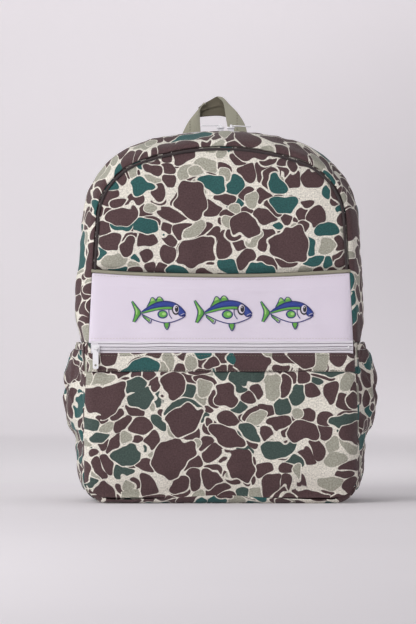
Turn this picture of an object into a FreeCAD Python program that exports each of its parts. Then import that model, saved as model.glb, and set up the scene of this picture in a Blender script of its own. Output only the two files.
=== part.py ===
import FreeCAD, Part
import math
import os
from collections import namedtuple

# A child's fabric backpack standing on its base. Millimetres, +Z up, front towards -Y, +X to the right.
# The origin is the middle of the flat bottom that it stands on.

V = FreeCAD.Vector

# ---- driving dimensions -------------------------------------------------------------------------------------

WALL = 2.4  # fabric with its light padding
LINING = 0.8
SLIT = 0.8  # half of the gap between the two sides of a zip
REST_GAP = 0.4  # between pieces of different bodies that lie face to face

FRONT_Y = -62.0  # front seam
LAND_FRONT_Y = -24.0  # the zip lies on a level land between these two
LAND_REAR_Y = -6.0
BACK_Y = 62.0  # back seam
ZIP_Y = -15.0  # line of the main zip

HINGE_Z = 184.0  # the flap folds here, at the band's lower edge
BAND_TOP_Z = 259.0
PIPING_TOP_Z = 263.0

POCKET_LOW_Z = 7.0
POCKET_SEAM_Z = 150.0
POCKET_TOP_Z = 170.8
POCKET_ZIP_Z = 176.0
POCKET_ZIP_Y = -68.7  # front face of the pocket zip's tapes
POCKET_ZIP_HALF = 146.0

TAPE = 1.2  # thickness of a zip tape
COIL_W = 2.5
COIL_H = 1.5

HANDLE_Y = 40.0
HANDLE_PIVOT_Z = 429.0
HANDLE_T = 3.0

STRAP_T = 9.0
WEB_W = 20.0
WEB_T = 1.6

Outline = namedtuple("Outline", "widths side_z shoulder_r corner_r top_z")

# Half widths at the corner, at mid pocket, under and over the side pocket's mouth, and at the shoulder.
FRONT_OUTLINE = Outline((156.0, 156.0, 151.0, 147.0, 141.0), 320.0, 75.0, 18.0, 402.0)
RIDGE_OUTLINE = Outline((158.0, 158.0, 158.0, 165.0, 158.4), 320.0, 100.0, 26.0, 430.0)
BACK_OUTLINE = Outline((156.0, 156.0, 156.0, 158.0, 152.0), 322.0, 92.0, 24.0, 424.0)
SIDE_LEVELS = (110.0, 189.0, 205.0)  # heights of the middle three half widths


# ---- helpers ------------------------------------------------------------------------------------------------


def box(x0, x1, y0, y1, z0, z1):
    return Part.makeBox(x1 - x0, y1 - y0, z1 - z0, V(x0, y0, z0))


def slab(y0, y1, z0=-10.0, z1=500.0):
    """A box wider than the bag between two depths, and two heights if they are given."""
    return box(-250, 250, y0, y1, z0, z1)


def cylinder_y(radius, y0, y1, x=0.0, z=0.0):
    return Part.makeCylinder(radius, y1 - y0, V(x, y0, z), V(0, 1, 0))


def mirrored(shape):
    return shape.mirror(V(0, 0, 0), V(1, 0, 0))


def polygon_prism(points, direction):
    """The polygon through the points, extruded along the direction."""
    corners = [V(*p) for p in points]
    return Part.Face(Part.makePolygon(corners + corners[:1])).extrude(V(*direction))


def both_sides(shape, name):
    """Writes a left-hand and a right-hand node from the right-hand shape."""
    save(shape, name + "_right")
    save(mirrored(shape), name + "_left")


def save(shape, name):
    solids = shape.Solids
    whole = solids[0] if len(solids) == 1 else Part.makeCompound(solids)
    whole.exportStep("parts/" + name + ".step")
    print(name, len(solids), round(sum(s.Volume for s in solids)))


# ---- the bag's outline --------------------------------------------------------------------------------------


def top_radius(outline):
    """Radius of the top arc that meets the shoulder arcs smoothly."""
    a = outline.widths[-1] - outline.shoulder_r
    b = outline.side_z - outline.top_z
    return (outline.shoulder_r**2 - a**2 - b**2) / (2 * (b + outline.shoulder_r))


def top_centre_z(outline):
    return outline.top_z - top_radius(outline)


def right_half(outline, inset):
    """Points of the right side, bottom to top: (x, z) pairs, with the middle of each arc after its start."""
    r = outline.corner_r
    low_x = outline.widths[0] - r
    diagonal = (r - inset) * math.sqrt(0.5)
    corner = [(low_x, inset), (low_x + diagonal, r - diagonal), (low_x + r - inset, r)]
    side = [(w - inset, z) for w, z in zip(outline.widths[1:4], SIDE_LEVELS)]
    shoulder_x = outline.widths[-1] - outline.shoulder_r
    lean = math.atan2(shoulder_x, outline.side_z - top_centre_z(outline))
    half_way = (math.pi / 2 + lean) / 2
    reach = outline.shoulder_r - inset
    shoulder = [
        (shoulder_x + reach * math.sin(a), outline.side_z + reach * math.cos(a))
        for a in (math.pi / 2, half_way, lean)
    ]
    return corner, side, shoulder


def outline_wire(outline, y, inset):
    """The closed outline at depth y, drawn in by inset."""
    corner, side, shoulder = right_half(outline, inset)

    def at(point, sign=1):
        return V(sign * point[0], y, point[1])

    edges = [Part.LineSegment(at(corner[0], -1), at(corner[0])).toShape()]
    edges.append(Part.Arc(at(corner[0]), at(corner[1]), at(corner[2])).toShape())
    run = [corner[2]] + side + [shoulder[0]]
    for a, b in zip(run, run[1:]):
        edges.append(Part.LineSegment(at(a), at(b)).toShape())
    edges.append(Part.Arc(at(shoulder[0]), at(shoulder[1]), at(shoulder[2])).toShape())
    top = V(0, y, outline.top_z - inset)
    edges.append(Part.Arc(at(shoulder[2]), top, at(shoulder[2], -1)).toShape())
    edges.append(Part.Arc(at(shoulder[2], -1), at(shoulder[1], -1), at(shoulder[0], -1)).toShape())
    back_run = run[::-1]
    for a, b in zip(back_run, back_run[1:]):
        edges.append(Part.LineSegment(at(a, -1), at(b, -1)).toShape())
    edges.append(Part.Arc(at(corner[2], -1), at(corner[1], -1), at(corner[0], -1)).toShape())
    return Part.Wire(edges)


def bag_loft(inset):
    """The whole bag as one solid, every outline drawn in by inset."""
    stations = (
        (FRONT_OUTLINE, FRONT_Y),
        (RIDGE_OUTLINE, LAND_FRONT_Y),
        (RIDGE_OUTLINE, LAND_REAR_Y),
        (BACK_OUTLINE, BACK_Y),
    )
    return Part.makeLoft([outline_wire(o, y, inset) for o, y in stations], True, True)


OUTER = bag_loft(0.0)
CORE = bag_loft(WALL)
RING = OUTER.cut(CORE)  # gussets, sides and bottom
ABOVE_HINGE = slab(-100, 100, HINGE_Z + REST_GAP, 500)
BELOW_HINGE = slab(-100, 100, -10, HINGE_Z)


# ---- front flap ---------------------------------------------------------------------------------------------


def front_flap_panels():
    wall = CORE.common(slab(FRONT_Y, FRONT_Y + WALL))
    save(wall.common(slab(-100, 0, HINGE_Z + REST_GAP, BAND_TOP_Z)), "band_panel")
    save(wall.common(slab(-100, 0, PIPING_TOP_Z, 500)), "dome_panel")
    piping_proud = 1.2
    profile = CORE.common(slab(FRONT_Y, FRONT_Y + WALL, BAND_TOP_Z, PIPING_TOP_Z))
    proud = profile.common(slab(FRONT_Y, FRONT_Y + piping_proud)).translated(V(0, -piping_proud, 0))
    save(profile.fuse(proud), "band_piping")
    save(wall.common(BELOW_HINGE), "front_lower_panel")


def front_gusset():
    front_part = RING.common(slab(FRONT_Y, LAND_FRONT_Y)).common(ABOVE_HINGE)
    save(front_part, "front_gusset")


def rear_gusset():
    save(RING.common(slab(LAND_REAR_Y, BACK_Y)).common(slab(-100, 100, HINGE_Z, 500)), "rear_gusset")


def zip_shell(outside, inside, y0, y1):
    """A layer of the bag's ridge between two insets and two depths, above the hinge line."""
    layer = bag_loft(outside).cut(bag_loft(inside))
    return layer.common(slab(y0, y1, HINGE_Z + REST_GAP, 500))


def main_zip():
    tape_in = 0.6
    coil_out = tape_in - COIL_H
    front_edge = ZIP_Y - SLIT
    rear_edge = ZIP_Y + SLIT
    save(zip_shell(tape_in, tape_in + TAPE, LAND_FRONT_Y, front_edge), "main_zip_front_tape")
    save(zip_shell(tape_in, tape_in + TAPE, rear_edge, LAND_REAR_Y), "main_zip_rear_tape")
    save(zip_shell(coil_out, tape_in, front_edge - COIL_W, front_edge), "main_zip_front_coil")
    save(zip_shell(coil_out, tape_in, rear_edge, rear_edge + COIL_W), "main_zip_rear_coil")


def fish(x):
    """One fish 0.8 thick on the band, facing +X: an oval body, a forked tail and two fins."""
    length, height, thick = 40.0, 19.0, 0.8
    z = 216.0
    y = FRONT_Y - thick
    body = Part.Face(Part.Wire(Part.Ellipse(V(0, 0, 0), length / 2, height / 2).toShape()))
    body.rotate(V(0, 0, 0), V(1, 0, 0), 90)
    body.translate(V(x + 8, y, z))
    solid = body.extrude(V(0, thick, 0))
    tail = [(x - 31, y, z + 12), (x - 8, y, z + 3), (x - 8, y, z - 3), (x - 31, y, z - 14), (x - 25, y, z)]
    back_fin = [(x - 6, y, z + 7), (x + 16, y, z + 8), (x + 4, y, z + 17)]
    belly_fin = [(x, y, z - 8), (x + 14, y, z - 7), (x - 2, y, z - 16)]
    for points in (tail, back_fin, belly_fin):
        solid = solid.fuse(polygon_prism(points, (0, thick, 0)))
    return solid.removeSplitter()


def fish_embroidery():
    first, pitch = -70.0, 72.5
    save(Part.makeCompound([fish(first + pitch * i) for i in range(3)]), "fish_embroidery")


# ---- sides, bottom, back and lining ---------------------------------------------------------------------------


def lower_body():
    lower = RING.common(BELOW_HINGE).cut(slab(LAND_FRONT_Y, LAND_REAR_Y, HINGE_Z, 500))
    split_x = 120.0
    save(lower.common(box(-split_x, split_x, -100, 100, -10, 20)), "bottom_panel")
    both_sides(lower.common(box(split_x, 200, -100, 100, -10, 300)), "side_panel")


def back_wall():
    save(CORE.common(slab(BACK_Y - WALL, BACK_Y)), "back_panel")
    half, low, high, depth = 118.0, 60.0, 368.0, 6.0
    pad = box(-half, half, BACK_Y, BACK_Y + depth, low, high)
    uprights = [e for e in pad.Edges if abs(e.tangentAt(e.FirstParameter).y) > 0.9]
    save(pad.makeFillet(24.0, uprights), "back_pad")


def linings():
    inside_front = FRONT_Y + WALL
    inside_back = BACK_Y - WALL
    skin = CORE.common(slab(inside_front, inside_back))
    skin = skin.cut(bag_loft(WALL + LINING).common(slab(inside_front + LINING, inside_back - LINING)))
    save(skin.common(slab(-100, LAND_FRONT_Y)).common(ABOVE_HINGE), "flap_lining")
    lower = skin.common(BELOW_HINGE)
    upper = skin.common(slab(LAND_REAR_Y, 100, HINGE_Z, 500))
    save(lower.fuse(upper), "body_lining")


# ---- side pockets ---------------------------------------------------------------------------------------------

SIDE_POCKET_HALF_DEPTH = 59.0
SIDE_POCKET_TOP_Z = HINGE_Z - REST_GAP
ELASTIC_H = 9.0
# (height, reach of the pocket from the middle plane)
SIDE_POCKET_LEVELS = (
    (8.0, 159.0),
    (25.0, 164.0),
    (60.0, 167.0),
    (90.0, 175.0),
    (121.0, 180.0),
    (150.0, 178.5),
    (173.0, 172.5),
    (200.0, 165.0),
)


def pouch_solid(inset, low_rise):
    """The side pocket's filled shape; inset draws it in and low_rise lifts its floor."""
    base_x = 150.0
    half = SIDE_POCKET_HALF_DEPTH - inset
    wires = []
    for z, reach in SIDE_POCKET_LEVELS:
        level = z + low_rise if z == SIDE_POCKET_LEVELS[0][0] else z
        start, end = V(base_x, -half, level), V(base_x, half, level)
        shoulder_x = 157.0 - inset
        front, back = V(shoulder_x, -half, level), V(shoulder_x, half, level)
        curve = Part.Arc(front, V(reach - inset, 0, level), back).toShape()
        edges = [Part.LineSegment(start, front).toShape(), curve]
        edges += [Part.LineSegment(back, end).toShape(), Part.LineSegment(end, start).toShape()]
        wires.append(Part.Wire(edges))
    return Part.makeLoft(wires, True, True)


def side_pockets():
    cloth, hem = 2.0, 3.0
    hem_low = SIDE_POCKET_TOP_Z - ELASTIC_H
    pouch = pouch_solid(0.0, 0.0)
    pocket = pouch.cut(pouch_solid(cloth, cloth)).cut(OUTER).common(slab(-100, 100, 0, hem_low))
    both_sides(pocket, "side_pocket")
    elastic = pouch.cut(pouch_solid(hem, hem)).cut(OUTER)
    both_sides(elastic.common(slab(-100, 100, hem_low, SIDE_POCKET_TOP_Z)), "side_elastic")


# ---- front pocket ---------------------------------------------------------------------------------------------


def pocket_profile(skin):
    """Side view of the pocket from floor to top, drawn in by the skin's thickness."""
    back = FRONT_Y - REST_GAP if skin == 0 else FRONT_Y + 5
    top = POCKET_TOP_Z if skin == 0 else POCKET_TOP_Z + 5
    low = POCKET_LOW_Z + skin
    front = [(-71.0, low), (-79.0, 34.0), (-80.0, 78.0), (-70.7, POCKET_SEAM_Z), (-70.7, top)]
    points = [(back, low)] + [(y + skin, z) for y, z in front] + [(back, top)]
    wide = 200.0
    return polygon_prism([(-wide, y, z) for y, z in points], (2 * wide, 0, 0))


def front_pocket():
    cloth = 2.0
    face = Part.Face(outline_wire(FRONT_OUTLINE, -110.0, 0.0))
    inner_face = Part.Face(outline_wire(FRONT_OUTLINE, -110.0, cloth))
    outer = pocket_profile(0.0).common(face.extrude(V(0, 60, 0)))
    inner = pocket_profile(cloth).common(inner_face.extrude(V(0, 60, 0)))
    tray = outer.cut(inner)
    save(tray.common(slab(-100, 0, 0, POCKET_SEAM_Z)), "pocket_panel")
    save(tray.common(slab(-100, 0, POCKET_SEAM_Z, POCKET_TOP_Z)), "pocket_strip")


def pocket_zip():
    half = POCKET_ZIP_HALF
    face = POCKET_ZIP_Y
    low_edge = POCKET_ZIP_Z - SLIT
    high_edge = POCKET_ZIP_Z + SLIT
    top = HINGE_Z - 1.5
    tape_low = box(-half, half, face, face + 1.0, POCKET_TOP_Z, low_edge)
    save(tape_low, "pocket_zip_lower_tape")
    tape_high = box(-half, half, face, face + 1.0, high_edge, top)
    ledge = box(-half, half, face + 1.0, FRONT_Y, top - 2.0, top)
    save(tape_high.fuse(ledge).removeSplitter(), "pocket_zip_upper_tape")
    save(box(-half, half, face - COIL_H, face, low_edge - COIL_W, low_edge), "pocket_zip_lower_coil")
    save(box(-half, half, face - COIL_H, face, high_edge, high_edge + COIL_W), "pocket_zip_upper_coil")
    stop = 2.0
    stops = [
        box(x, x + stop, face - COIL_H - 0.3, face - COIL_H, high_edge, high_edge + COIL_W)
        for x in (-half, half - stop)
    ]
    save(Part.makeCompound(stops), "pocket_zip_stops")


# ---- sliders and pulls ----------------------------------------------------------------------------------------
# Local axes: x along the zip, y across it, z out of the tape, whose outer face is z = 0.

SLIDER_LONG = 9.0
SLIDER_PLATE = 1.3
PIN_R = 0.6
PIN_RISE = 1.7  # pin's centre over the top plate
PIN_CLEARANCE = 0.08
PULL_LONG = 23.0
PULL_W = 6.5
PULL_T = 1.0


def slider(top_low, bottom_high, bottom_span, lug_turn):
    """A slider whose top plate starts at top_low and bottom plate ends at bottom_high."""
    half = SLIDER_LONG / 2
    wide = 4.4
    plate = box(-half, half, -wide, wide, top_low, top_low + SLIDER_PLATE)
    uprights = [e for e in plate.Edges if abs(e.tangentAt(e.FirstParameter).z) > 0.9]
    body = plate.makeFillet(2.0, uprights)
    post_half = 0.4
    body = body.fuse(box(-half + 1, half - 1, -post_half, post_half, bottom_high, top_low))
    under = box(-half, half, bottom_span[0], bottom_span[1], bottom_high - 1.0, bottom_high)
    body = body.fuse(under)
    pin_z = top_low + SLIDER_PLATE + PIN_RISE
    lug_in, lug_out = 1.4, 2.3
    lugs = cylinder_y(PIN_R, -lug_out, lug_out, 0, pin_z)
    for low, high in ((-lug_out, -lug_in), (lug_in, lug_out)):
        lugs = lugs.fuse(box(-1.4, 1.4, low, high, top_low + SLIDER_PLATE / 2, pin_z))
        lugs = lugs.fuse(cylinder_y(1.4, low, high, 0, pin_z))
    lugs.rotate(V(0, 0, 0), V(0, 0, 1), lug_turn)
    return body.fuse(lugs).removeSplitter(), pin_z


def pull():
    """A flat pull tab along +x from its eye, whose axis is y through the origin."""
    eye_half = 1.3
    eye = cylinder_y(1.3, -eye_half, eye_half)
    neck = box(0, 4.0, -eye_half, eye_half, -PULL_T / 2, PULL_T / 2)
    tab = box(3.4, PULL_LONG, -PULL_W / 2, PULL_W / 2, -PULL_T / 2, PULL_T / 2)
    uprights = [e for e in tab.Edges if abs(e.tangentAt(e.FirstParameter).z) > 0.9]
    tab = tab.makeFillet(1.6, uprights)
    hole = Part.makeCylinder(1.3, 4, V(PULL_LONG - 4.2, 0, -2))
    whole = eye.fuse(neck).fuse(tab).cut(hole)
    return whole.cut(cylinder_y(PIN_R + PIN_CLEARANCE, -3, 3)).removeSplitter()


def placed(shape, x_axis, y_axis, z_axis, origin):
    """The shape moved from the zip's local axes to the bag's."""
    m = FreeCAD.Matrix()
    for row, (a, b, c, d) in enumerate(zip(x_axis, y_axis, z_axis, origin), 1):
        for column, value in enumerate((a, b, c, d), 1):
            setattr(m, "A" + str(row) + str(column), float(value))
    return shape.transformShape(m, True)


def pocket_slider():
    x = -142.5
    top_low = COIL_H + REST_GAP
    behind = -1.0 - REST_GAP
    body, pin_z = slider(top_low, behind, (-3.6, 0.4), 90)
    axes = ((1, 0, 0), (0, 0, 1), (0, -1, 0))
    origin = (x, POCKET_ZIP_Y, POCKET_ZIP_Z)
    save(placed(body, *axes, origin), "pocket_slider")
    tab = pull()
    tab.rotate(V(0, 0, 0), V(0, 0, 1), -90)
    tab.translate(V(0, 0, pin_z))
    save(placed(tab, *axes, origin), "pocket_pull")
    print("pocket pull pin at", x, POCKET_ZIP_Y - pin_z, POCKET_ZIP_Z)


def main_slider(x, facing, side):
    """A slider on the top arc, with its pull lying along the zip towards facing (+1 or -1)."""
    coil_top = COIL_H - 0.6
    rise = 1.4  # the front coil lifts a little as the flap starts to tip forward
    body, pin_z = slider(coil_top + rise, -0.6 - TAPE - REST_GAP, (-4.2, 4.2), 0)
    tab = pull()
    if facing < 0:
        tab.rotate(V(0, 0, 0), V(0, 0, 1), 180)
    tab.translate(V(0, 0, pin_z))
    radius = top_radius(RIDGE_OUTLINE)
    centre = V(0, ZIP_Y, RIDGE_OUTLINE.top_z - radius)
    angle = math.degrees(math.asin(x / radius))
    for shape, name in ((body, "main_slider_"), (tab, "main_pull_")):
        shape.translate(V(0, ZIP_Y, RIDGE_OUTLINE.top_z))
        shape.rotate(centre, V(0, 1, 0), angle)
        save(shape, name + side)
    reach = radius + pin_z
    pin = (reach * math.sin(math.radians(angle)), centre.z + reach * math.cos(math.radians(angle)))
    print("main pull pin", side, [round(v, 3) for v in pin], "arc centre z", round(centre.z, 3))


# ---- grab handle ----------------------------------------------------------------------------------------------


def grab_handle():
    low = HANDLE_PIVOT_Z - 0.6
    y0 = HANDLE_Y - HANDLE_T / 2
    outside = [(-44, low), (-37, 453), (-17, 473.5), (9, 473.5), (28, 453), (33, low)]
    inside = [(-22, low - 1), (-19, 446), (-12, 451), (3, 451), (9, 446), (10, low - 1)]
    body = polygon_prism([(x, y0, z) for x, z in outside], (0, HANDLE_T, 0))
    gap = polygon_prism([(x, y0 - 1, z) for x, z in inside], (0, HANDLE_T + 2, 0))
    save(body.cut(gap), "grab_handle")
    end_top = HANDLE_PIVOT_Z - 2.2
    ends = [box(x0, x1, HANDLE_Y - 7, HANDLE_Y + 7, 412, end_top) for x0, x1 in ((-44, -22), (10, 33))]
    save(Part.makeCompound([e.cut(OUTER) for e in ends]), "handle_ends")


# ---- shoulder straps --------------------------------------------------------------------------------------------

STRAP_LINE = ((71.8, 401.0), (106.0, 285.0), (88.0, 158.0))  # side view, middle of the strap: (y, z)
STRAP_INNER_EDGE = ((24.0, 410.0), (46.0, 290.0), (82.0, 150.0))  # seen from behind: (x, z)
STRAP_OUTER_EDGE = ((74.0, 410.0), (104.0, 290.0), (114.0, 150.0))


def offset_point(point, centre, by):
    away = V(0, point[0] - centre.y, point[1] - centre.z)
    away.normalize()
    return V(0, point[0], point[1]) + away * by


def strap_band():
    """The strap's side view, bowed away from the back, extruded wide."""
    middle = Part.Arc(*[V(0, y, z) for y, z in STRAP_LINE]).toShape()
    centre = middle.Curve.Center
    outer = [offset_point(p, centre, STRAP_T / 2) for p in STRAP_LINE]
    inner = [offset_point(p, centre, -STRAP_T / 2) for p in STRAP_LINE]
    edges = [
        Part.Arc(*outer).toShape(),
        Part.LineSegment(outer[2], inner[2]).toShape(),
        Part.Arc(*inner[::-1]).toShape(),
        Part.LineSegment(inner[0], outer[0]).toShape(),
    ]
    return Part.Face(Part.Wire(edges)).extrude(V(150, 0, 0))


def strap_plan():
    """The strap seen from behind, extruded through its whole depth."""
    a, b, c = [V(x, 0, z) for x, z in STRAP_INNER_EDGE]
    d, e, f = [V(x, 0, z) for x, z in STRAP_OUTER_EDGE]
    edges = [
        Part.Arc(a, b, c).toShape(),
        Part.LineSegment(c, f).toShape(),
        Part.Arc(f, e, d).toShape(),
        Part.LineSegment(d, a).toShape(),
    ]
    return Part.Face(Part.Wire(edges)).extrude(V(0, 150, 0))


def flat_web(low, high):
    """A straight webbing between two level edges: each is (x middle, y front, z)."""
    wires = []
    for x, y, z in (low, high):
        half = WEB_W / 2
        corners = [V(x - half, y, z), V(x + half, y, z), V(x + half, y + WEB_T, z), V(x - half, y + WEB_T, z)]
        wires.append(Part.makePolygon(corners + corners[:1]))
    return Part.makeLoft(wires, True, True)


def ladder_lock(x, y, z):
    """A frame with two slots, flat towards the back: x, y, z is its middle."""
    half_w, half_h, half_t = 15.0, 12.0, 2.2
    frame = box(x - half_w, x + half_w, y - half_t, y + half_t, z - half_h, z + half_h)
    frame = frame.makeFillet(2.0, [e for e in frame.Edges if abs(e.tangentAt(e.FirstParameter).y) > 0.9])
    for low in (-8.6, 1.8):
        frame = frame.cut(box(x - 11, x + 11, y - 5, y + 5, z + low, z + low + 6.8))
    return frame


def shoulder_straps():
    strap = strap_band().common(strap_plan())
    both_sides(strap, "shoulder_strap")
    lock_x, lock_y, lock_z = 98.0, 86.5, 134.0
    both_sides(ladder_lock(lock_x, lock_y, lock_z), "ladder_lock")
    end_y = lock_y - WEB_T / 2
    strap_foot_z = 155.5
    end = box(lock_x - 10, lock_x + 10, end_y, end_y + WEB_T, lock_z + 4.2, strap_foot_z)
    both_sides(end.cut(ladder_lock(lock_x, lock_y, lock_z)).cut(strap), "strap_end")
    foot = (118.0, 66.0, 38.0)
    both_sides(flat_web(foot, (lock_x, lock_y - 5.5, lock_z - 14)), "strap_webbing")
    tail_y = lock_y + 3.0
    both_sides(flat_web((lock_x + 2, tail_y + 2, 62.0), (lock_x, tail_y, lock_z - 4)), "strap_tail")
    tab = polygon_prism([(106, BACK_Y, 20), (130, BACK_Y, 20), (130, BACK_Y, 30), (128, BACK_Y, 38),
                         (108, BACK_Y, 38), (106, BACK_Y, 30)], (0, 5.6, 0))
    both_sides(tab, "anchor_tab")


def strap_yoke():
    save(box(-82, 82, BACK_Y, BACK_Y + 3.4, 380, 398).common(slab(0, 100)), "strap_yoke")


# ---- build ------------------------------------------------------------------------------------------------------


def main():
    os.makedirs("parts", exist_ok=True)
    front_flap_panels()
    front_gusset()
    rear_gusset()
    main_zip()
    fish_embroidery()
    lower_body()
    back_wall()
    linings()
    side_pockets()
    front_pocket()
    pocket_zip()
    pocket_slider()
    main_slider(0.0, -1, "left")
    main_slider(12.0, 1, "right")
    grab_handle()
    shoulder_straps()
    strap_yoke()


main()
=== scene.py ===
import math
from collections import namedtuple

import bpy
import numpy as np
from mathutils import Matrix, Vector


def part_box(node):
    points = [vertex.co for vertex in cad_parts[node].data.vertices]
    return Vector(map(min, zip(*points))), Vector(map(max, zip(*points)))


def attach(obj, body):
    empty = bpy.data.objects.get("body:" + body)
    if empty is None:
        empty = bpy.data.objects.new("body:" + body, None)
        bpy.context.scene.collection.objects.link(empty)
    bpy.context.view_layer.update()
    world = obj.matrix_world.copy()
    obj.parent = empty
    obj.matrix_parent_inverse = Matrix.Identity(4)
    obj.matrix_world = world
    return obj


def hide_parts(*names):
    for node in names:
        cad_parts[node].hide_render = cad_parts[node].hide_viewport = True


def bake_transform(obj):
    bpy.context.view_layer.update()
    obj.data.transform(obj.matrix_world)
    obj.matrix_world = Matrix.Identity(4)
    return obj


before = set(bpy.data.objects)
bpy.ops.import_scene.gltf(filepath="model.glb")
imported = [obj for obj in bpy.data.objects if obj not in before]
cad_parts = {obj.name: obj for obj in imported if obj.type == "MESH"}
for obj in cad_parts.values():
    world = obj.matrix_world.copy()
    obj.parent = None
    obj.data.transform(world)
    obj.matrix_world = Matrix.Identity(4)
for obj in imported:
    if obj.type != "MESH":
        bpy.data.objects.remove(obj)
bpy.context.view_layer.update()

# A child's camouflage backpack in metres, in the frame of its CAD model: front towards -Y, +Z up.
# Pieces put on with on_bag or on_body ride on a CAD body; the others stay where they are built.

MM = 0.001


def low(node):
    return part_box(node)[0]


def high(node):
    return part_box(node)[1]


# ---- sizes, read from the frame ----

FRONT = low("band_panel").y
BACK = high("back_panel").y
LAND_FRONT = low("main_zip_front_tape").y
LAND_REAR = high("main_zip_rear_tape").y
ZIP_Y = (high("main_zip_front_coil").y + low("main_zip_rear_coil").y) / 2
FOLD_Z = low("band_panel").z
BAND_FOOT = FOLD_Z - 2.0 * MM  # the band hangs a little over the zip
BAND_TOP = high("band_panel").z
DOME_LOW = low("dome_panel").z
POCKET_LOW = low("pocket_panel").z
POCKET_SEAM = low("pocket_strip").z
POCKET_TOP = high("pocket_strip").z
POCKET_FACE = low("pocket_strip").y
POCKET_ZIP_Z = (high("pocket_zip_lower_coil").z + low("pocket_zip_upper_coil").z) / 2
POCKET_ZIP_Y = low("pocket_zip_lower_tape").y
POCKET_ZIP_HALF = high("pocket_zip_lower_tape").x
TOP = high("rear_gusset").z
CLOTH = 1.3 * MM

# An outline of the bag: half widths at the corner, at SIDE_LEVELS and at side_z; height where the side ends and
# the shoulder starts; radii of shoulder and bottom corner; height of the top.
Outline = namedtuple("Outline", "widths side_z shoulder_r corner_r top_z")
SIDE_LEVELS = (0.110, 0.189, 0.205)
OUTLINES = (
    Outline((0.156, 0.156, 0.151, 0.1505, 0.1435), 0.320, 0.075, 0.027, high("dome_panel").z + 6.0 * MM),
    Outline((0.158, 0.158, 0.158, high("rear_gusset").x, 0.1584), 0.320, 0.100, 0.030, TOP - 2.4 * MM),
    Outline((0.156, 0.156, 0.156, 0.158, 0.152), 0.322, 0.092, 0.028, high("back_panel").z + 2.4 * MM),
)
FRONT_EDGE, RIDGE, BACK_EDGE = range(3)  # stations: the outlines from front to back

# ---- outlines of the bag ----

EDGE_STEPS = (30, 26, 70, 12, 16)  # top arc, shoulder arc, side, corner arc, half of the bottom
TURN_STEP = EDGE_STEPS[0] + EDGE_STEPS[1] // 2  # the shoulder arc's middle
CORNER_STEP = sum(EDGE_STEPS[:3])  # where the corner arc starts


def smooth(values, passes):
    for _ in range(passes):
        inner = (values[:-2] + 2 * values[1:-1] + values[2:]) / 4
        values = np.concatenate([values[:1], inner, values[-1:]])
    return values


def right_half(o):
    """Points (x, z) of an outline from its top centre down its right side to its bottom centre."""
    a = o.widths[-1] - o.shoulder_r
    b = o.side_z - o.top_z
    radius = (o.shoulder_r**2 - a**2 - b**2) / (2 * (b + o.shoulder_r))
    centre_z = o.top_z - radius
    lean = math.atan2(a, o.side_z - centre_z)
    top, shoulder, side, corner, bottom = EDGE_STEPS
    t = np.linspace(0, lean, top, endpoint=False)
    runs = [np.stack([radius * np.sin(t), centre_z + radius * np.cos(t)], 1)]
    t = np.linspace(lean, math.pi / 2, shoulder, endpoint=False)
    runs.append(np.stack([a + o.shoulder_r * np.sin(t), o.side_z + o.shoulder_r * np.cos(t)], 1))
    z = np.linspace(o.side_z, o.corner_r, side, endpoint=False)
    levels = (o.corner_r,) + SIDE_LEVELS + (o.side_z,)
    runs.append(np.stack([smooth(np.interp(z, levels, o.widths), 14), z], 1))
    t = np.linspace(0, math.pi / 2, corner, endpoint=False)
    low_x = o.widths[0] - o.corner_r
    runs.append(np.stack([low_x + o.corner_r * np.cos(t), o.corner_r - o.corner_r * np.sin(t)], 1))
    x = np.linspace(low_x, 0, bottom)
    runs.append(np.stack([x, np.zeros(bottom)], 1))
    return np.concatenate(runs)


HALVES = [right_half(o) for o in OUTLINES]
Q_GRID = np.linspace(0, 1, len(HALVES[0]))
RIDGE_RUN = np.concatenate([[0], np.cumsum(np.linalg.norm(np.diff(HALVES[1], axis=0), axis=1))])


def outline_at(station, q):
    """(x, z) at q: 0 is the top centre, 1 the bottom centre along the right, -1 along the left."""
    half = HALVES[station]
    x = np.interp(np.abs(q), Q_GRID, half[:, 0]) * np.sign(q)
    z = np.interp(np.abs(q), Q_GRID, half[:, 1])
    return np.stack([x, z], -1)


def q_of_z(z, station=1):
    """The q on the right side at height z."""
    half = HALVES[station]
    return float(np.interp(z, half[::-1, 1], Q_GRID[::-1]))


def half_width(z, station=0):
    """How far the outline's side is from the middle at height z."""
    half = HALVES[station]
    return np.interp(z, half[::-1, 1], half[::-1, 0])


def run_of(q):
    return np.interp(np.abs(q), Q_GRID, RIDGE_RUN) * np.sign(q)


def section(y):
    """How much of the front, ridge and back outline there is at depth y."""
    ahead = np.clip((y - FRONT) / (LAND_FRONT - FRONT), 0, 1)
    behind = np.clip((y - LAND_REAR) / (BACK - LAND_REAR), 0, 1)
    ridge_f = np.sin(ahead * math.pi / 2) ** 0.8
    back = 1 - np.cos(behind * math.pi / 2) ** 0.8
    return (1 - ridge_f), ridge_f * (1 - back), back


class Waves:
    """Smooth noise about a wavelength: a seeded sum of sine waves in space."""

    def __init__(self, seed, wavelength, terms=14, squash=(1, 1, 1)):
        rng = np.random.default_rng(seed)
        ways = rng.normal(size=(terms, 3))
        ways /= np.linalg.norm(ways, axis=1)[:, None]
        self.k = ways * (2 * math.pi / wavelength / rng.uniform(0.6, 1.6, terms))[:, None] * np.array(squash)
        self.phase = rng.uniform(0, 2 * math.pi, terms)
        self.scale = math.sqrt(2 / terms)

    def __call__(self, points):
        return np.sin(points @ self.k.T + self.phase).sum(-1) * self.scale


DENTS = Waves(3, 0.150)
RIPPLES = Waves(5, 0.045)
CREASES = Waves(8, 0.022)


def lumps(grid, dents, ripples, creases=0.0):
    """How far worn fabric stands out at each point, from heights in millimetres."""
    return (DENTS(grid) * dents + RIPPLES(grid) * ripples + CREASES(grid) * creases) * MM


def normals_of(grid):
    du = np.gradient(grid, axis=0)
    dv = np.gradient(grid, axis=1)
    n = np.cross(du, dv)
    return n / np.maximum(np.linalg.norm(n, axis=-1, keepdims=True), 1e-12)


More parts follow.
